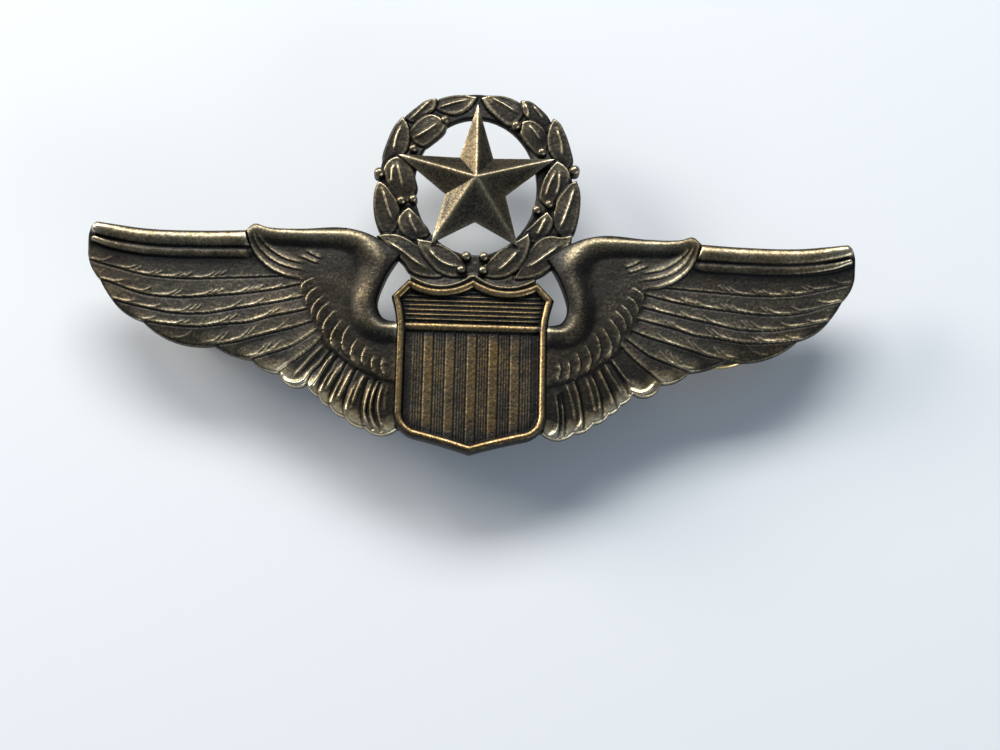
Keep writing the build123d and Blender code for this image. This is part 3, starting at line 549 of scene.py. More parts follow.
def fan_relief(x, y, trailing, wing_side):
    """Short feathers beside the shield: grooves between them, raised quills, lifted tips."""
    height = FAN_TIP_LIFT * np.clip(1 - trailing / FAN_TIP_REACH, 0, 1) * fade(x, *FAN_TIP_SPAN)
    for line in FAN_EDGES[wing_side]:
        d, _, along, _ = near(x, y, smooth(line, 6), 1.0)
        height -= FAN_GROOVE * bell(d, GROOVE_WIDTH) * (along < 1)
    for rise, line in FAN_RIDGES[wing_side]:
        d, _, along, _ = near(x, y, smooth(line, 6), 1.0)
        height += rise * bell(d, RIDGE_WIDTH) * tapered(along, (5, 6), (0, 0.3))
    return height


def barb_lines():
    """The raised barbs: each leaves its row's edge and curves up into the feather inboard."""
    lines = [np.array(line, float) for line in TRAILING_BARBS]
    for row, start, rise, ticks in BARBS:
        edge = smooth(ROW_EDGES[row])[::-1]

        def over(offset, lift):
            return start + offset, np.interp(start + offset, edge[:, 0], edge[:, 1]) + lift

        for tick in range(ticks + 1):
            shape, (reach, low), steps = (TICK_SHAPE, TICK_END, 3) if tick else (BARB_SHAPE, BARB_END, 4)
            back = TICK_SPACING * tick
            line = [over(offset - back, share * rise) for offset, share in shape]
            lines.append(smooth(line + [over(reach - back, low)], steps))
    return lines


def edge_step(x, y, line, crest, blunt):
    """A raised edge with its crest on the line's right side and a groove just outside it. It fades
    towards the line's end, and towards its start unless it is blunt."""
    d, side, along, _ = near(x, y, line, 2.0)
    outside = -EDGE_GROOVE * bell(d, GROOVE_WIDTH)
    rise = np.where(side < 0, crest * np.exp(-d / EDGE_CREST_WIDTH), outside)
    return rise * tapered(along, (4, 4), start=float(blunt))


def bead(height, x, y, line, foot, top, where):
    """Height with a rounded bead along a line of (x, y, half width), in the mask, and the bead's own
    shape from 0 to 1."""
    d, _, _, half = near(x, y, smooth(line))
    place = d / np.maximum(half, LEAST_HALF)
    shape = np.clip(1 - place**2, 0, 1) * where
    profile = foot - BEAD_FOOT_SLOPE * np.maximum(place - 1, 0) + (top - foot) * np.sqrt(shape)
    profile -= BEAD_DIP * fade(x, *BEAD_DIP_SPAN)
    return np.where(where, smooth_max(height, profile, BEAD_BLEND), height), shape


def add_neck(height, rub_and_painted_light, x, y, under):
    """Height and extra wear with the neck, which swells softly out of the inner field, and a painted
    highlight on the shoulder's upper part.
    """
    d, _, _, half = near(x, y, smooth(NECK))
    place = np.clip(d / (NECK_SPREAD * np.maximum(half, LEAST_HALF)), 0, 1)
    swell = (0.5 + 0.5 * np.cos(np.pi * place)) * (1 - under)
    # painted highlight on the shoulder's upper part, and the neck a little darker
    rub_and_painted_light += (SHOULDER_PAINTED_HIGHLIGHT * fade(y, *SHOULDER_HIGHLIGHT_SPAN) - NECK_LESS_WEAR) * swell
    return height + (NECK_TOP - height) * swell, rub_and_painted_light


def add_beads(height, rub_and_painted_light, x, y, outer):
    """Height and extra wear with the leading bead and the ridge below it, on the outer wing: painted
    highlight on the bead's upper side, painted shade on its lower side and on the first row below the
    ridge.
    """
    # painted shade on the first row, under the second ridge
    below = np.maximum(near(x, y, smooth(SECOND_RIDGE))[0] - FIRST_ROW_GAP, 0)
    rub_and_painted_light -= FIRST_ROW_PAINTED_SHADE * bell(below, FIRST_ROW_REACH) * outer
    height, lower = bead(height, x, y, SECOND_RIDGE, SECOND_FOOT, SECOND_TOP, outer > 0.5)
    height, upper = bead(height, x, y, LEADING_BEAD, BEAD_FOOT, BEAD_TOP, outer > 0.5)
    # the second ridge is made darker
    rub_and_painted_light = np.where(lower > 0, -SECOND_RIDGE_DARKENING, rub_and_painted_light)
    # the bead's upper side gets a painted highlight and its lower side painted shade
    above, half = left_of(x, y, smooth(LEADING_BEAD))
    crest = BEAD_PAINTED_LIGHT_SLOPE * (above / np.maximum(half, LEAST_HALF) + BEAD_PAINTED_LIGHT_SHIFT)
    return height, np.where(upper > 0, BEAD_WEAR_AND_PAINTED_LIGHT * np.clip(crest, BEAD_PAINTED_SHADE_LEAST, 1), rub_and_painted_light)


def wing_height(x, y, wing_side):
    """Height of a wing's face over its back, and its extra wear with painted highlight and painted shade,
    in the right wing's coordinates.
    """
    trailing = near(x, y, trailing_line())[0]
    base = WING_EDGE + WING_RISE * (1 - np.exp(-trailing / WING_RISE_REACH))
    rub_and_painted_light = FAN_WEAR * np.clip(1 - trailing / FAN_TIP_REACH, 0, 1)
    rub_and_painted_light *= np.maximum(fade(x, *FAN_WEAR_SPAN), FAN_WEAR_LEAST)
    under = np.clip(left_of(x, y, smooth(COVERT_EDGE))[0] / COVERT_SOFT + 0.5, 0, 1)
    point = fade(x, *SHOULDER_POINT_X_SPAN) * fade(y, *SHOULDER_POINT_Y_SPAN)
    inner = base + COVERT_RISE + SHOULDER_POINT_RISE * point
    # under is 1 on the long feathers, which the shoulder and scale feathers lie on, and 0 on those
    height = under * row_relief(x, y, base) + (1 - under) * inner
    for line in barb_lines():
        d, _, along, _ = near(x, y, line, 0.6)
        shape = under * bell(d, BARB_WIDTH) * tapered(along, (4, 4), start=0.25)
        height += BARB_HEIGHT * shape
        rub_and_painted_light = np.maximum(rub_and_painted_light, BARB_WEAR * shape)
    height += under * fan_relief(x, y, trailing, wing_side)
    for lines, crest, share, blunt in RAISED_EDGES:
        for line in lines:
            rise = edge_step(x, y, smooth(line, 6), share * crest, blunt)
            height += rise
            rub_and_painted_light = np.maximum(rub_and_painted_light, LAYER_WEAR * (rise / crest) ** 3)
    height, rub_and_painted_light = add_neck(height, rub_and_painted_light, x, y, under)
    return add_beads(height, rub_and_painted_light, x, y, under * (x > BEADS_FROM))


# ------------- relief of shield and wreath
def shield_outline():
    """Closed outline of the shield: scalloped top, cut corners and a curved point."""
    top, scallop, corner, point, waist_mid, waist, side, bend, heel, keel, tip = SHIELD_EDGE
    half = np.vstack([
        [top], arc(top, scallop, corner, 24), [point], arc(point, waist_mid, waist), [side],
        arc(side, bend, heel, 14), arc(heel, keel, tip, 14),
    ])
    other = half[1:-1][::-1] * (-1, 1)
    return np.vstack([half, other])


def shield_height(x, y):
    """Height over the shield's back, and extra wear: rim, bar, lines of the chief, stripes and pales."""
    edge = polygon_inside(x, y, shield_line)
    lines = CHIEF_RELIEF * (0.5 + 0.5 * np.cos(2 * np.pi * (y - CHIEF_TOP_LINE) / CHIEF_PITCH))
    chief = np.where(y > BAR_HIGH, lines, 0)
    stripes = np.zeros(x.shape)
    for middle in STRIPES:
        stripes = np.maximum(stripes, np.clip((STRIPE_WIDTH / 2 - abs(x - middle)) / STRIPE_SOFT, 0, 1))
    pales = STRIPE_RELIEF * stripes
    for first, last, count in LINE_GROUPS:
        for middle in np.linspace(first, last, count):
            pales = np.maximum(pales, LINE_RELIEF * bell(x - middle, LINE_WIDTH))
    height = SHIELD_FLOOR + np.where(y < BAR_LOW, pales, chief)
    middle, half = (BAR_LOW + BAR_HIGH) / 2, (BAR_HIGH - BAR_LOW) / 2
    height = np.maximum(height, SHIELD_FLOOR + BAR_RELIEF * dome(y - middle, half) ** ROLL_FLATNESS)
    outer = dome(np.clip(RIM_CREST - edge, 0, RIM_CREST), RIM_CREST * RIM_SIDE)
    inner = dome(np.clip(edge - RIM_CREST, 0, None), RIM_WIDTH - RIM_CREST)
    rim = np.where(edge < RIM_CREST, outer, inner) ** ROLL_FLATNESS
    rim = SHIELD_FLOOR + (SHIELD_RIM - SHIELD_FLOOR) * rim
    height = np.where(edge < RIM_WIDTH, np.maximum(height, rim), height)
    rub_and_painted_light = SHIELD_BASE_WEAR - BASE_WEAR + STRIPE_WEAR * (stripes > 0.5) * (y < BAR_LOW)
    rub_and_painted_light += CHIEF_WEAR * (y > BAR_HIGH) - RIM_LESS_WEAR * ((edge < RIM_WIDTH) | (abs(y - middle) < half))
    return height, rub_and_painted_light


def leaf_inside(x, y, outline):
    """Distance inside a leaf, to about 1 mm either side of its outline."""
    return polygon_inside(x, y, smooth(outline + outline[:1], 5)[:-1], 1.0)


def ring_inside(x, y, half_widths):
    """Rough distance inside an ellipse round the wreath's middle."""
    a, b = half_widths
    q = np.hypot(x / a, (y - RING_Y) / b)
    slope = np.hypot(x / a**2, (y - RING_Y) / b**2) / np.maximum(q, 1e-6)
    return (1 - q) / np.maximum(slope, 1e-6)


def wreath_inside(x, y):
    """Distance inside the wreath: ring, leaves, berries and the foot behind the shield."""
    d = np.minimum(ring_inside(x, y, RING_OUTER), -ring_inside(x, y, RING_INNER))
    for outline, *_ in LEAVES:
        d = np.maximum(d, leaf_inside(x, y, outline))
    for bx, by, r in BERRIES:
        d = np.maximum(d, r - np.hypot(x - bx, y - by))
    half, low, high = FOOT
    return np.maximum(d, np.minimum(half - abs(x), np.minimum(y - low, high - y)))


def leaf_relief(x, y, inside, outline, veins):
    """Height and extra wear of one leaf: a lip round it, a rising tip and raised veins."""
    (bx, by), (tx, ty) = veins[0][0], outline[0]
    along = ((x - bx) * (tx - bx) + (y - by) * (ty - by)) / ((tx - bx) ** 2 + (ty - by) ** 2)
    mx, my = np.mean(outline, axis=0)
    outward = np.clip(np.hypot(x, y - RING_Y) - math.hypot(mx, my - RING_Y), -1, 1)
    rub_and_painted_light = bell(inside - LIP_PLACE, LIP_RUB_WIDTH) * (LIP_RUB[0] + LIP_RUB[1] * outward)
    rub_and_painted_light -= WREATH_LESS_WEAR
    body = LEAF_LOW + LEAF_LIFT * np.clip(along, -0.2, 1) + LIP * bell(inside - LIP_PLACE, LIP_WIDTH)
    body += LEAF_CAMBER * np.clip(inside / LEAF_CAMBER_REACH, 0, 1)
    body -= LEAF_DROP * np.clip(1 - inside / LEAF_DROP_REACH, 0, 1) ** 2
    for vein in veins:
        d, _, place, _ = near(x, y, smooth(vein, 5), 0.8)
        shape = bell(d, VEIN_WIDTH) * tapered(place, (6, 6), (0.2, 0.2))
        body += VEIN * shape
        rub_and_painted_light = np.maximum(rub_and_painted_light, VEIN_WEAR * shape)
    return body, rub_and_painted_light


def wreath_height(x, y):
    """Height and extra wear of the wreath: each leaf's tip lies over the base of the next leaf."""
    shield_gap = -polygon_inside(x, y, shield_line)
    height = RING_GROUND + FOOT_BEAD * bell(shield_gap - FOOT_BEAD_PLACE, FOOT_BEAD_WIDTH)
    rub_and_painted_light = np.full(x.shape, -WREATH_LESS_WEAR)
    for outline, *veins in LEAVES:
        inside = leaf_inside(x, y, outline)
        body, leaf_rub = leaf_relief(x, y, inside, outline, veins)
        rub_and_painted_light = np.where(inside > 0, leaf_rub, rub_and_painted_light)
        height = np.where(inside > 0, body, height - LEAF_GROOVE * bell(inside, LEAF_GROOVE_WIDTH))
    return height, rub_and_painted_light


def held_down(height_of):
    """A relief that is held down where the shield lies on it."""
    def face(x, y):
        height, rub_and_painted_light = height_of(x, y)
        return np.where(polygon_inside(x, y, shield_line) > SHIELD_OVERLAP, UNDER_SHIELD, height), rub_and_painted_light
    return face


def bridge_inside(x, y):
    """Distance inside the plate behind the shield, which joins the wings."""
    half = BRIDGE_HALF - BRIDGE_TAPER * np.maximum(0, y - BRIDGE_SHOULDER)
    return np.minimum(half - abs(x), np.minimum(y - BRIDGE_LOW, BRIDGE_HIGH - y))


def bridge_face(x, y):
    """The plate's flat face, just under the shield's back."""
    return np.full(x.shape, UNDER_SHIELD), np.zeros(x.shape)


# ------------- meshes
def add_object(name, data):
    """Puts a mesh, a camera or a light into the scene."""
    ob = bpy.data.objects.new(name, data)
    bpy.context.scene.collection.objects.link(ob)
    return ob


def shade_smooth(mesh, angle):
    """Smooth shading, with a crease at each edge sharper than the angle in degrees."""
    mesh.polygons.foreach_set("use_smooth", [True] * len(mesh.polygons))
    mesh.set_sharp_from_angle(angle=math.radians(angle))


def set_wear_and_painted_light(mesh, wear_and_painted_light):
    """Keeps the wear, with its painted highlight and painted shade, from 0 to 1, on each vertex."""
    mesh.attributes.new("wear_and_painted_light", "FLOAT", "POINT").data.foreach_set("value", np.asarray(wear_and_painted_light, np.float32))


def new_object(name, verts, faces, wear_and_painted_light=None):
    """A mesh object from millimetre vertices."""
    mesh = bpy.data.meshes.new(name)
    mesh.from_pydata((np.asarray(verts, float) * MM).tolist(), [], faces)
    mesh.update()
    if wear_and_painted_light is not None:
        set_wear_and_painted_light(mesh, wear_and_painted_light)
    return add_object(name, mesh)


def mesh_from(name, bm):
    """A new mesh with a bmesh's shape."""
    mesh = bpy.data.meshes.new(name)
    bm.to_mesh(mesh)
    bm.free()
    return mesh


def finish_shell(ob, angle, weld=0.0):
    """Welds a mesh, closes its open back, turns its faces outwards and shades it."""
    bm = bmesh.new()
    bm.from_mesh(ob.data)
    if weld:
        bmesh.ops.remove_doubles(bm, verts=bm.verts, dist=weld * MM)
    open_edges = [e for e in bm.edges if e.is_boundary]
    if open_edges:
        bmesh.ops.triangle_fill(bm, use_beauty=False, use_dissolve=False, edges=open_edges)
    bmesh.ops.recalc_face_normals(bm, faces=bm.faces)
    bm.to_mesh(ob.data)
    bm.free()
    shade_smooth(ob.data, angle)
    return ob


def round_edge(height, inside):
    """Rounds the top of the outer edge."""
    near_edge = np.clip(inside / EDGE_ROUND, 0, 1)
    return height * (1 - EDGE_DROP * (1 - np.sqrt(1 - (1 - near_edge) ** 2)))


def grain(shape, rng, sigma, amount):
    """Seeded soft unevenness of a struck and tumbled surface."""
    field = blur(rng.standard_normal(shape), sigma)
    return amount * field / field.std()


def snapped_grid(inside_of, box, step):
    """A grid whose points beside the outline are moved onto it: x, y, distance inside, points kept."""
    x0, x1, y0, y1 = box
    x, y = np.meshgrid(np.arange(x0, x1, step), np.arange(y0, y1, step))
    d = inside_of(x, y)
    on_edge = abs(d) < 0.501 * step
    ex, ey = x[on_edge], y[on_edge]
    for _ in range(SNAP_ROUNDS):
        here = inside_of(ex, ey)
        gx = (inside_of(ex + PROBE, ey) - inside_of(ex - PROBE, ey)) / (2 * PROBE)
        gy = (inside_of(ex, ey + PROBE) - inside_of(ex, ey - PROBE)) / (2 * PROBE)
        norm = np.maximum(gx**2 + gy**2, LEAST_SLOPE)
        ex = ex - np.clip(here * gx / norm, -step, step)
        ey = ey - np.clip(here * gy / norm, -step, step)
    x[on_edge], y[on_edge] = ex, ey
    return x, y, np.where(on_edge, 0, d), (d > 0) | on_edge


def struck_face(x, y, keep, height_of, step):
    """A face's softened and grainy height, and its wear with the painted light that height_of gives,
    which is more where the face stands proud.
    """
    rng = np.random.default_rng(SEED)
    height, rub_and_painted_light = height_of(x, y)
    weight = np.where(keep, 1.0, 1e-6)
    height = blur_kept(height, weight, SOFTEN)
    height += sum(grain(x.shape, rng, sigma, amount) for sigma, amount in GRAINS)
    wear_and_painted_light = BASE_WEAR + rub_and_painted_light
    for reach, strength, most_lost, most_gained in WEAR_SCALES:
        proud = height - blur_kept(height, weight, reach / step)
        wear_and_painted_light += np.clip(strength * proud, -most_lost, most_gained)
    return height, np.clip(wear_and_painted_light, 0, 1)


def grid_faces(keep):
    """Quads of the kept grid points, triangles at the cut corners, and the edges round the outline."""
    index = np.full(keep.shape, -1)
    index[keep] = np.arange(keep.sum())
    corners = np.stack([index[:-1, :-1], index[:-1, 1:], index[1:, 1:], index[1:, :-1]], -1)
    corners = corners.reshape(-1, 4)
    present = (corners >= 0).sum(1)
    quads, tris = corners[present == 4], corners[present == 3]
    tris = tris[tris >= 0].reshape(-1, 3)
    edges = np.vstack([np.stack([f, np.roll(f, -1, 1)], -1).reshape(-1, 2) for f in (quads, tris)])
    _, first, counts = np.unique(np.sort(edges, 1), axis=0, return_index=True, return_counts=True)
    return quads.tolist() + tris.tolist(), edges[first[counts == 1]]


def relief(name, inside_of, height_of, box, step, back, mirrored=False):
    """A closed struck piece: its face is a height map cut along an outline, its back is flat."""
    x, y, inside, keep = snapped_grid(inside_of, box, step)
    height, wear_and_painted_light = struck_face(x, y, keep, height_of, step)
    height = round_edge(height, np.maximum(inside, 0))
    top = np.column_stack([x[keep], y[keep], back + height[keep]])
    faces, rim = grid_faces(keep)
    used = np.unique(rim)
    low = {v: len(top) + i for i, v in enumerate(used.tolist())}
    bottom = top[used].copy()
    bottom[:, 2] = back
    faces += [(b, a, low[a], low[b]) for a, b in rim.tolist()]
    verts = np.vstack([top, bottom])
    if mirrored:
        verts[:, 0] *= -1
        faces = [f[::-1] for f in faces]
    wear_and_painted_light = np.concatenate([wear_and_painted_light[keep], np.full(len(used), BACK_WEAR)])
    return finish_shell(new_object(name, verts, faces, wear_and_painted_light), CREASE)


def star_corners():
    """The star's ten corners in order, from its top tip, and the directions of its five ridges."""
    half = [np.array(p, float) for p in STAR_POINTS]
    ring = half + [p * (-1, 1) for p in half[-2:0:-1]]
    return ring, [(tip - STAR_APEX) / np.linalg.norm(tip - STAR_APEX) for tip in ring[::2]]


def facet_points(p, q, ridges, back):
    """Points and wear of the flat facet between the apex and two corners, row by row."""
    verts, wear_and_painted_light = [], []
    for i in range(STAR_DIVISIONS + 1):
        u = i / STAR_DIVISIONS
        for j in range(i + 1):
            v = j / max(i, 1)
            flat = u * ((1 - v) * (p - STAR_APEX) + v * (q - STAR_APEX))
            d = min(abs(flat[0] * r[1] - flat[1] * r[0]) for r in ridges if np.dot(flat, r) >= 0)
            z = STAR_TOP - (STAR_TOP - STAR_EDGE_H) * u - RIDGE_LOSS * max(0, 1 - d / RIDGE_ROUND) ** 2
            verts.append((STAR_APEX[0] + flat[0], STAR_APEX[1] + flat[1], back + z))
            worn = RIDGE_WEAR * math.exp(-((d / RIDGE_RUB_REACH) ** 2))
            worn += STAR_EDGE_WEAR * max(0, u - STAR_EDGE_FROM) / (1 - STAR_EDGE_FROM)
            wear_and_painted_light.append(STAR_WEAR + worn)
    return verts, wear_and_painted_light


def star_mesh(name, back):
    """Ten flat facets from the apex to the edge, with slightly worn ridges."""
    ring, ridges = star_corners()
    n = STAR_DIVISIONS
    verts, wear_and_painted_light, faces, rim = [], [], [], []
    for p, q in zip(ring, ring[1:] + ring[:1]):
        start = len(verts)
        points, worn = facet_points(p, q, ridges, back)
        verts += points
        wear_and_painted_light += worn
        for i in range(n):
            row, below = start + i * (i + 1) // 2, start + (i + 1) * (i + 2) // 2
            for j in range(i + 1):
                faces.append((row + j, below + j, below + j + 1))
                if j < i:
                    faces.append((row + j, below + j + 1, row + j + 1))
        last = start + n * (n + 1) // 2
        rim += [(last + j, last + j + 1) for j in range(n)]
    for a, b in rim:
        foot = len(verts)
        for v in (a, b):
            verts.append((verts[v][0], verts[v][1], back))
            wear_and_painted_light.append(STAR_SIDE_WEAR)
        faces.append((b, a, foot, foot + 1))
    return finish_shell(new_object(name, verts, faces, wear_and_painted_light), STAR_CREASE, weld=0.002)


def berry_mesh(name, back):
    """The wreath's round berries. A struck berry has upright sides."""
    bm = bmesh.new()
    for bx, by, r in BERRIES:
        place = Matrix.Translation((bx * MM, by * MM, (back + BERRY_Z) * MM))
        made = bmesh.ops.create_uvsphere(bm, u_segments=28, v_segments=16, radius=r * MM, matrix=place)
        for v in made["verts"]:
            out = Vector((v.co.x / MM - bx, v.co.y / MM - by))
            if v.co.z < place.translation.z and out.length > 0.02:
                v.co.x = (bx + out.x / out.length * r) * MM
                v.co.y = (by + out.y / out.length * r) * MM
            v.co.z = max(v.co.z, (back + BERRY_FOOT) * MM)
    mesh = mesh_from(name, bm)
    rises = [(v.co.z / MM - back - BERRY_WEAR_FROM) / BERRY_WEAR_RISE for v in mesh.vertices]
    set_wear_and_painted_light(mesh, np.clip(rises, *BERRY_WEAR))
    mesh.polygons.foreach_set("use_smooth", [True] * len(mesh.polygons))
    return add_object(name, mesh)


def rounded_copy(name, cad, width):
    """A CAD piece's shape with its sharp edges rounded, as stamped and tumbled metal has them."""
    bm = bmesh.new()
    bm.from_mesh(frame["nodes"][cad].data)
    bmesh.ops.remove_doubles(bm, verts=bm.verts, dist=1e-6)
    bmesh.ops.dissolve_limit(bm, angle_limit=math.radians(1), verts=bm.verts, edges=bm.edges)
    if width:
        least = math.radians(CLUTCH_CREASE)
        sharp = [e for e in bm.edges if e.is_manifold and e.calc_face_angle(0) > least]
        bmesh.ops.bevel(bm, geom=sharp, offset=width * MM, segments=3, profile=0.5, affect="EDGES",
                        clamp_overlap=True)
    mesh = mesh_from(name, bm)
    shade_smooth(mesh, CLUTCH_CREASE)
    return add_object(name, mesh)


def solder_mesh(name, middle, rng):
    """A hollow-cheeked run of solder round a post's pad, uneven round its edge."""
    waves = rng.uniform(-1, 1, (SOLDER_WAVES, 2))
    inner = PAD_RADIUS - SOLDER_OVERLAP
    verts, faces = [], []
    for i in range(SOLDER_AROUND):
        a = 2 * math.pi * i / SOLDER_AROUND
        lump = sum(c * math.cos(k * a) + s * math.sin(k * a) for k, (c, s) in enumerate(waves, 2))
        uneven = SOLDER_UNEVEN * lump / SOLDER_WAVES
        reach = SOLDER_REACH * (1 + uneven) + SOLDER_OVERLAP
        section = []
        for j in range(SOLDER_UP + 1):
            t = j / SOLDER_UP
            section.append((inner + reach * t, BACK - SOLDER_HEIGHT * (1 - t) ** 2 * (1 + 0.5 * uneven)))
        for r, z in section + [(inner, BACK)]:
            verts.append((middle[0] + r * math.cos(a), middle[1] + r * math.sin(a), z))
    row = SOLDER_UP + 2
    for i in range(SOLDER_AROUND):
        a, b = i * row, (i + 1) % SOLDER_AROUND * row
        faces += [(a + j, b + j, b + (j + 1) % row, a + (j + 1) % row) for j in range(row)]
    return finish_shell(new_object(name, verts, faces), CREASE)


# ------------- materials
def set_inputs(tree, made, inputs):
    """Sets inputs of a node, each to a number, a colour, an object or another node's output."""
    for key, value in inputs.items():
        if isinstance(value, bpy.types.NodeSocket):
            tree.links.new(value, made.inputs[key])
        else:
            made.inputs[key].default_value = value


def node(tree, kind, inputs=None, **settings):
    """A new node, placed to the right of those before it."""
    made = tree.nodes.new(kind)
    made.location = (200 * len(tree.nodes), 0)
    for key, value in settings.items():
        setattr(made, key, value)
    set_inputs(tree, made, inputs or {})
    return made


def new_material(name):
    """A new material with its node tree and shader."""
    material = bpy.data.materials.new(name)
    material.use_nodes = True
    return material, material.node_tree, material.node_tree.nodes["Principled BSDF"]


def noise(tree, coords, scale, detail, roughness):
    inputs = {"Vector": coords, "Scale": scale, "Detail": detail, "Roughness": roughness}
    return node(tree, "ShaderNodeTexNoise", inputs).outputs["Fac"]


def math_node(tree, operation, *values, clamp=False):
    inputs = dict(enumerate(values))
    return node(tree, "ShaderNodeMath", inputs, operation=operation, use_clamp=clamp).outputs[0]


def map_range(tree, value, **limits):
    inputs = {key.replace("_", " ").title(): limit for key, limit in limits.items()}
    return node(tree, "ShaderNodeMapRange", {"Value": value, **inputs}).outputs["Result"]


def bump(tree, height, strength, distance):
    inputs = {"Height": height, "Strength": strength, "Distance": distance}
    return node(tree, "ShaderNodeBump", inputs).outputs["Normal"]


def ramp(tree, factor, stops):
    """A colour that follows a factor through (position, colour) stops."""
    made = node(tree, "ShaderNodeValToRGB", {"Fac": factor})
    band = made.color_ramp
    while len(band.elements) < len(stops):
        band.elements.new(0.5)
    for element, (position, colour) in zip(band.elements, stops):
        element.position = position
        element.color = (*colour, 1)
    return made.outputs["Color"]


def metal(material, tree, shader, colour, roughness, normal):
    """Finishes a metal's shader and gives back its material."""
    inputs = {"Base Color": colour, "Metallic": 1.0, "Roughness": roughness, "Normal": normal}
    set_inputs(tree, shader, inputs)
    return material


def antique_brass(name, half_worn, bright):
    """Darkened brass, rubbed bright on its high places and nearly black in its grooves, also showing the
    painted highlight and painted shade in the wear attribute.
    """
    made = new_material(name)
    tree = made[1]
    coords = node(tree, "ShaderNodeTexCoord").outputs["Object"]
    wear_and_painted_light = node(tree, "ShaderNodeAttribute", attribute_name="wear_and_painted_light").outputs["Fac"]
    blotch = noise(tree, coords, 380, 3.0, 0.6)
    speckle = noise(tree, coords, 4200, 2.0, 0.6)
    uneven = math_node(tree, "MULTIPLY_ADD", blotch, BLOTCHES, -BLOTCHES / 2)
    grainy = math_node(tree, "MULTIPLY_ADD", speckle, SPECKLES, -SPECKLES / 2)
    rubbed_and_painted_light = math_node(tree, "ADD", wear_and_painted_light, uneven)
    rubbed_and_painted_light = math_node(tree, "ADD", rubbed_and_painted_light, grainy, clamp=True)
    stops = [(0.08, GROOVE_COLOUR), (0.36, DARK_COLOUR), (0.58, half_worn), (0.95, bright)]
    colour = ramp(tree, rubbed_and_painted_light, stops)
    patches = noise(tree, coords, 150, 2.0, 0.5)
    copper = map_range(tree, patches, from_min=0.42, from_max=0.66, to_max=0.45)
    tinted = node(tree, "ShaderNodeMix", data_type="RGBA", blend_type="MULTIPLY")
    set_inputs(tree, tinted, {0: copper, 6: colour, 7: COPPER_TINT})
    fine, coarse = noise(tree, coords, 6500, 2.0, 0.5), noise(tree, coords, 1500, 3.0, 0.6)
    grain_bump = bump(tree, math_node(tree, "ADD", fine, coarse), 0.30, 0.00003)
    return metal(*made, tinted.outputs[2], map_range(tree, rubbed_and_painted_light, to_min=0.46, to_max=0.27), grain_bump)


def plain_metal(name, dark, light, roughness, scale=900, bump_height=0.00001):
    """Brass, wire or solder with soft stains and a fine surface."""
    made = new_material(name)
    tree = made[1]
    coords = node(tree, "ShaderNodeTexCoord").outputs["Object"]
    stain = noise(tree, coords, scale, 4.0, 0.6)
    colour = ramp(tree, stain, [(0.3, dark), (0.65, light)])
    rough = map_range(tree, stain, to_min=roughness[1], to_max=roughness[0])
    fine = noise(tree, coords, scale * 6, 2.0, 0.5)
    return metal(*made, colour, rough, bump(tree, fine, 0.4, bump_height))


def paint(ob, material):
    """Gives an object one material."""
    ob.data.materials.clear()
    ob.data.materials.append(material)


# ------------- stage
def camera():
    """The camera, aimed from its elevation and azimuth and rolled about its line of sight."""
    tilt, turn, roll = (math.radians(v) for v in (90 - CAMERA_ELEVATION, CAMERA_AZIMUTH, CAMERA_ROLL))
    aim = Matrix.Rotation(turn, 4, "Z") @ Matrix.Rotation(tilt, 4, "X") @ Matrix.Rotation(roll, 4, "Z")
    data = bpy.data.cameras.new("camera")
    data.angle = math.radians(CAMERA_VIEW)
    data.clip_start, data.clip_end = 0.005, 5.0
    ob = add_object("camera", data)
    place = (Vector(CAMERA_TARGET) + CAMERA_DISTANCE * aim.col[2].xyz) * MM
    ob.matrix_world = Matrix.Translation(place) @ aim
    bpy.context.scene.camera = ob


def area_light(name, toward, distance, size, power, colour):
    """A soft light of a width and height that shines on the badge from a direction."""
    data = bpy.data.lights.new(name, "AREA")
    data.shape = "RECTANGLE"
    data.size, data.size_y = size
    data.energy, data.color = power, colour
    ob = add_object(name, data)
    direction = Vector(toward).normalized()
    ob.location = direction * distance
    ob.rotation_euler = direction.to_track_quat("Z", "Y").to_euler()


def follow_lowest(floor, bodies):
    """Lowers the floor with the lowest of the bodies, so that a pulled-off clutch stands on it."""
    tree = bpy.data.node_groups.new("floor_level", "GeometryNodeTree")
    for way in ("INPUT", "OUTPUT"):
        tree.interface.new_socket("Geometry", in_out=way, socket_type="NodeSocketGeometry")
    lowest = 0.0
    for body in bodies:
        info = node(tree, "GeometryNodeObjectInfo", {"Object": body}, transform_space="ORIGINAL")
        place = node(tree, "ShaderNodeSeparateXYZ", {0: info.outputs["Location"]})
        lowest = math_node(tree, "MINIMUM", place.outputs["Z"], lowest)
    down = node(tree, "ShaderNodeCombineXYZ", {"Z": lowest}).outputs[0]
    start = node(tree, "NodeGroupInput").outputs["Geometry"]
    move = node(tree, "GeometryNodeSetPosition", {"Geometry": start, "Offset": down})
    node(tree, "NodeGroupOutput", {"Geometry": move.outputs["Geometry"]})
    floor.modifiers.new("floor_level", "NODES").node_group = tree


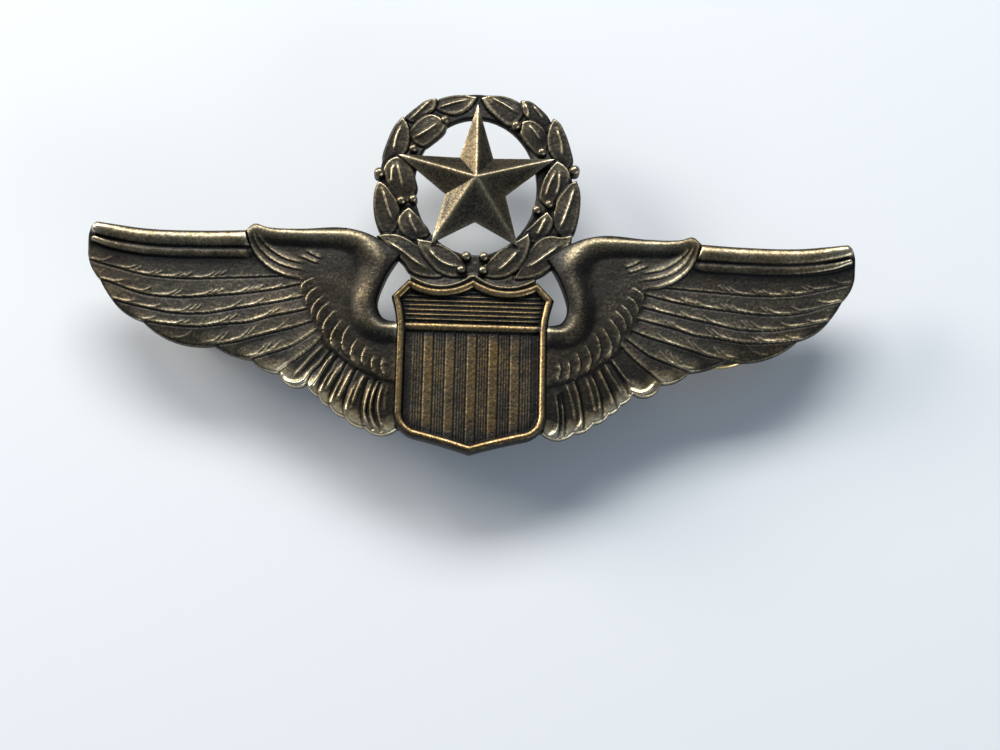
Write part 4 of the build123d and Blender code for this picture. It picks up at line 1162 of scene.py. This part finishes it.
def stage():
    """Floor, surrounding light and lamps."""
    mesh = bpy.data.meshes.new("floor")
    corners = [(x * FLOOR_HALF, y * FLOOR_HALF, 0) for x, y in ((-1, -1), (1, -1), (1, 1), (-1, 1))]
    mesh.from_pydata(corners, [], [(0, 1, 2, 3)])
    floor = add_object("floor", mesh)
    material, tree, shader = new_material("floor")
    set_inputs(tree, shader, {"Base Color": FLOOR_COLOUR, "Roughness": FLOOR_ROUGHNESS})
    paint(floor, material)
    follow_lowest(floor, [body for name, body in frame["bodies"].items() if name.endswith("_clutch")])
    world = bpy.data.worlds.new("studio")
    world.use_nodes = True
    background = world.node_tree.nodes["Background"]
    set_inputs(world.node_tree, background, {"Color": AROUND_COLOUR, "Strength": AROUND_STRENGTH})
    bpy.context.scene.world = world
    for light in LIGHTS:
        area_light(*light)
    bpy.context.scene.view_settings.view_transform = "Standard"


# ------------- the pin
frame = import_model()
stage()
camera()

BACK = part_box("wing_plate")[0][2] / MM
SHIELD_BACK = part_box("shield")[0][2] / MM
STAR_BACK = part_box("star")[0][2] / MM
UNDER_SHIELD = SHIELD_BACK - BACK - SHIELD_GAP

brass = antique_brass("antique_brass", (0.142, 0.116, 0.072), (0.55, 0.475, 0.33))
shield_brass = antique_brass("shield_brass", (0.158, 0.108, 0.048), (0.53, 0.37, 0.19))
clutch_brass = plain_metal("clutch_brass", (0.42, 0.29, 0.12), (0.72, 0.53, 0.25), (0.22, 0.38))
post_metal = plain_metal("post_brass", (0.38, 0.28, 0.15), (0.60, 0.47, 0.26), (0.25, 0.40))
solder_metal = plain_metal("solder", (0.22, 0.22, 0.21), (0.45, 0.45, 0.43), (0.35, 0.55), 1500, 0.00003)
wire_metal = plain_metal("spring_steel", (0.35, 0.35, 0.35), (0.60, 0.60, 0.60), (0.20, 0.32))

wing_line = wing_outline()
shield_line = shield_outline()

badge_pieces = []             # (piece, the CAD node it replaces, its metal)
for side, mirrored in (("right", False), ("left", True)):
    face = held_down(lambda x, y: wing_height(x, y, side))
    wing = relief(f"{side}_wing", within(wing_line), face, WING_BOX, WING_STEP, BACK, mirrored)
    badge_pieces.append((wing, "wing_plate", brass))
bridge = relief("wing_bridge", bridge_inside, bridge_face, BRIDGE_BOX, BRIDGE_STEP, BACK)
shield = relief("shield_relief", within(shield_line), shield_height, SHIELD_BOX, SHIELD_STEP,
                SHIELD_BACK)
wreath_face = held_down(wreath_height)
wreath = relief("wreath_leaves", wreath_inside, wreath_face, WREATH_BOX, WREATH_STEP, BACK)
badge_pieces += [
    (bridge, "wing_plate", brass),
    (shield, "shield", shield_brass),
    (wreath, "wreath", brass),
    (star_mesh("star_facets", STAR_BACK), "star", brass),
    (berry_mesh("wreath_berries", BACK), "wreath", brass),
]
for piece, cad, brass_kind in badge_pieces:
    paint(piece, brass_kind)
    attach(piece, "badge")
    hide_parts(cad)

CLUTCH_PARTS = [              # (part, body, metal, slot, edge rounding)
    ("pin_post", "badge", post_metal, "post", POST_EDGE),
    ("clutch_base", "clutch", clutch_brass, "clutch_brass", DISC_EDGE),
    ("clutch_cover", "clutch", clutch_brass, "clutch_brass", STAMPED_EDGE),
    ("clutch_jaw_outer", "jaw_outer", clutch_brass, "clutch_brass", STAMPED_EDGE),
    ("clutch_jaw_inner", "jaw_inner", clutch_brass, "clutch_brass", STAMPED_EDGE),
    ("clutch_spring", "clutch", wire_metal, "spring_wire", 0),
]
solder_rng = np.random.default_rng(SEED + 1)
for side, middle in POSTS.items():
    for part, body, metal_kind, slot, rounding in CLUTCH_PARTS:
        piece = rounded_copy(f"{side}_{part}_finished", f"{side}_{part}", rounding)
        paint(piece, metal_kind)
        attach(piece, body if body == "badge" else f"{side}_{body}")
        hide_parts(f"{side}_{part}")
        if part == "clutch_spring":
            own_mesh(piece)
    solder = solder_mesh(f"{side}_solder_finished", middle, solder_rng)
    paint(solder, solder_metal)
    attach(solder, "badge")
    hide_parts(f"{side}_solder_fillet")
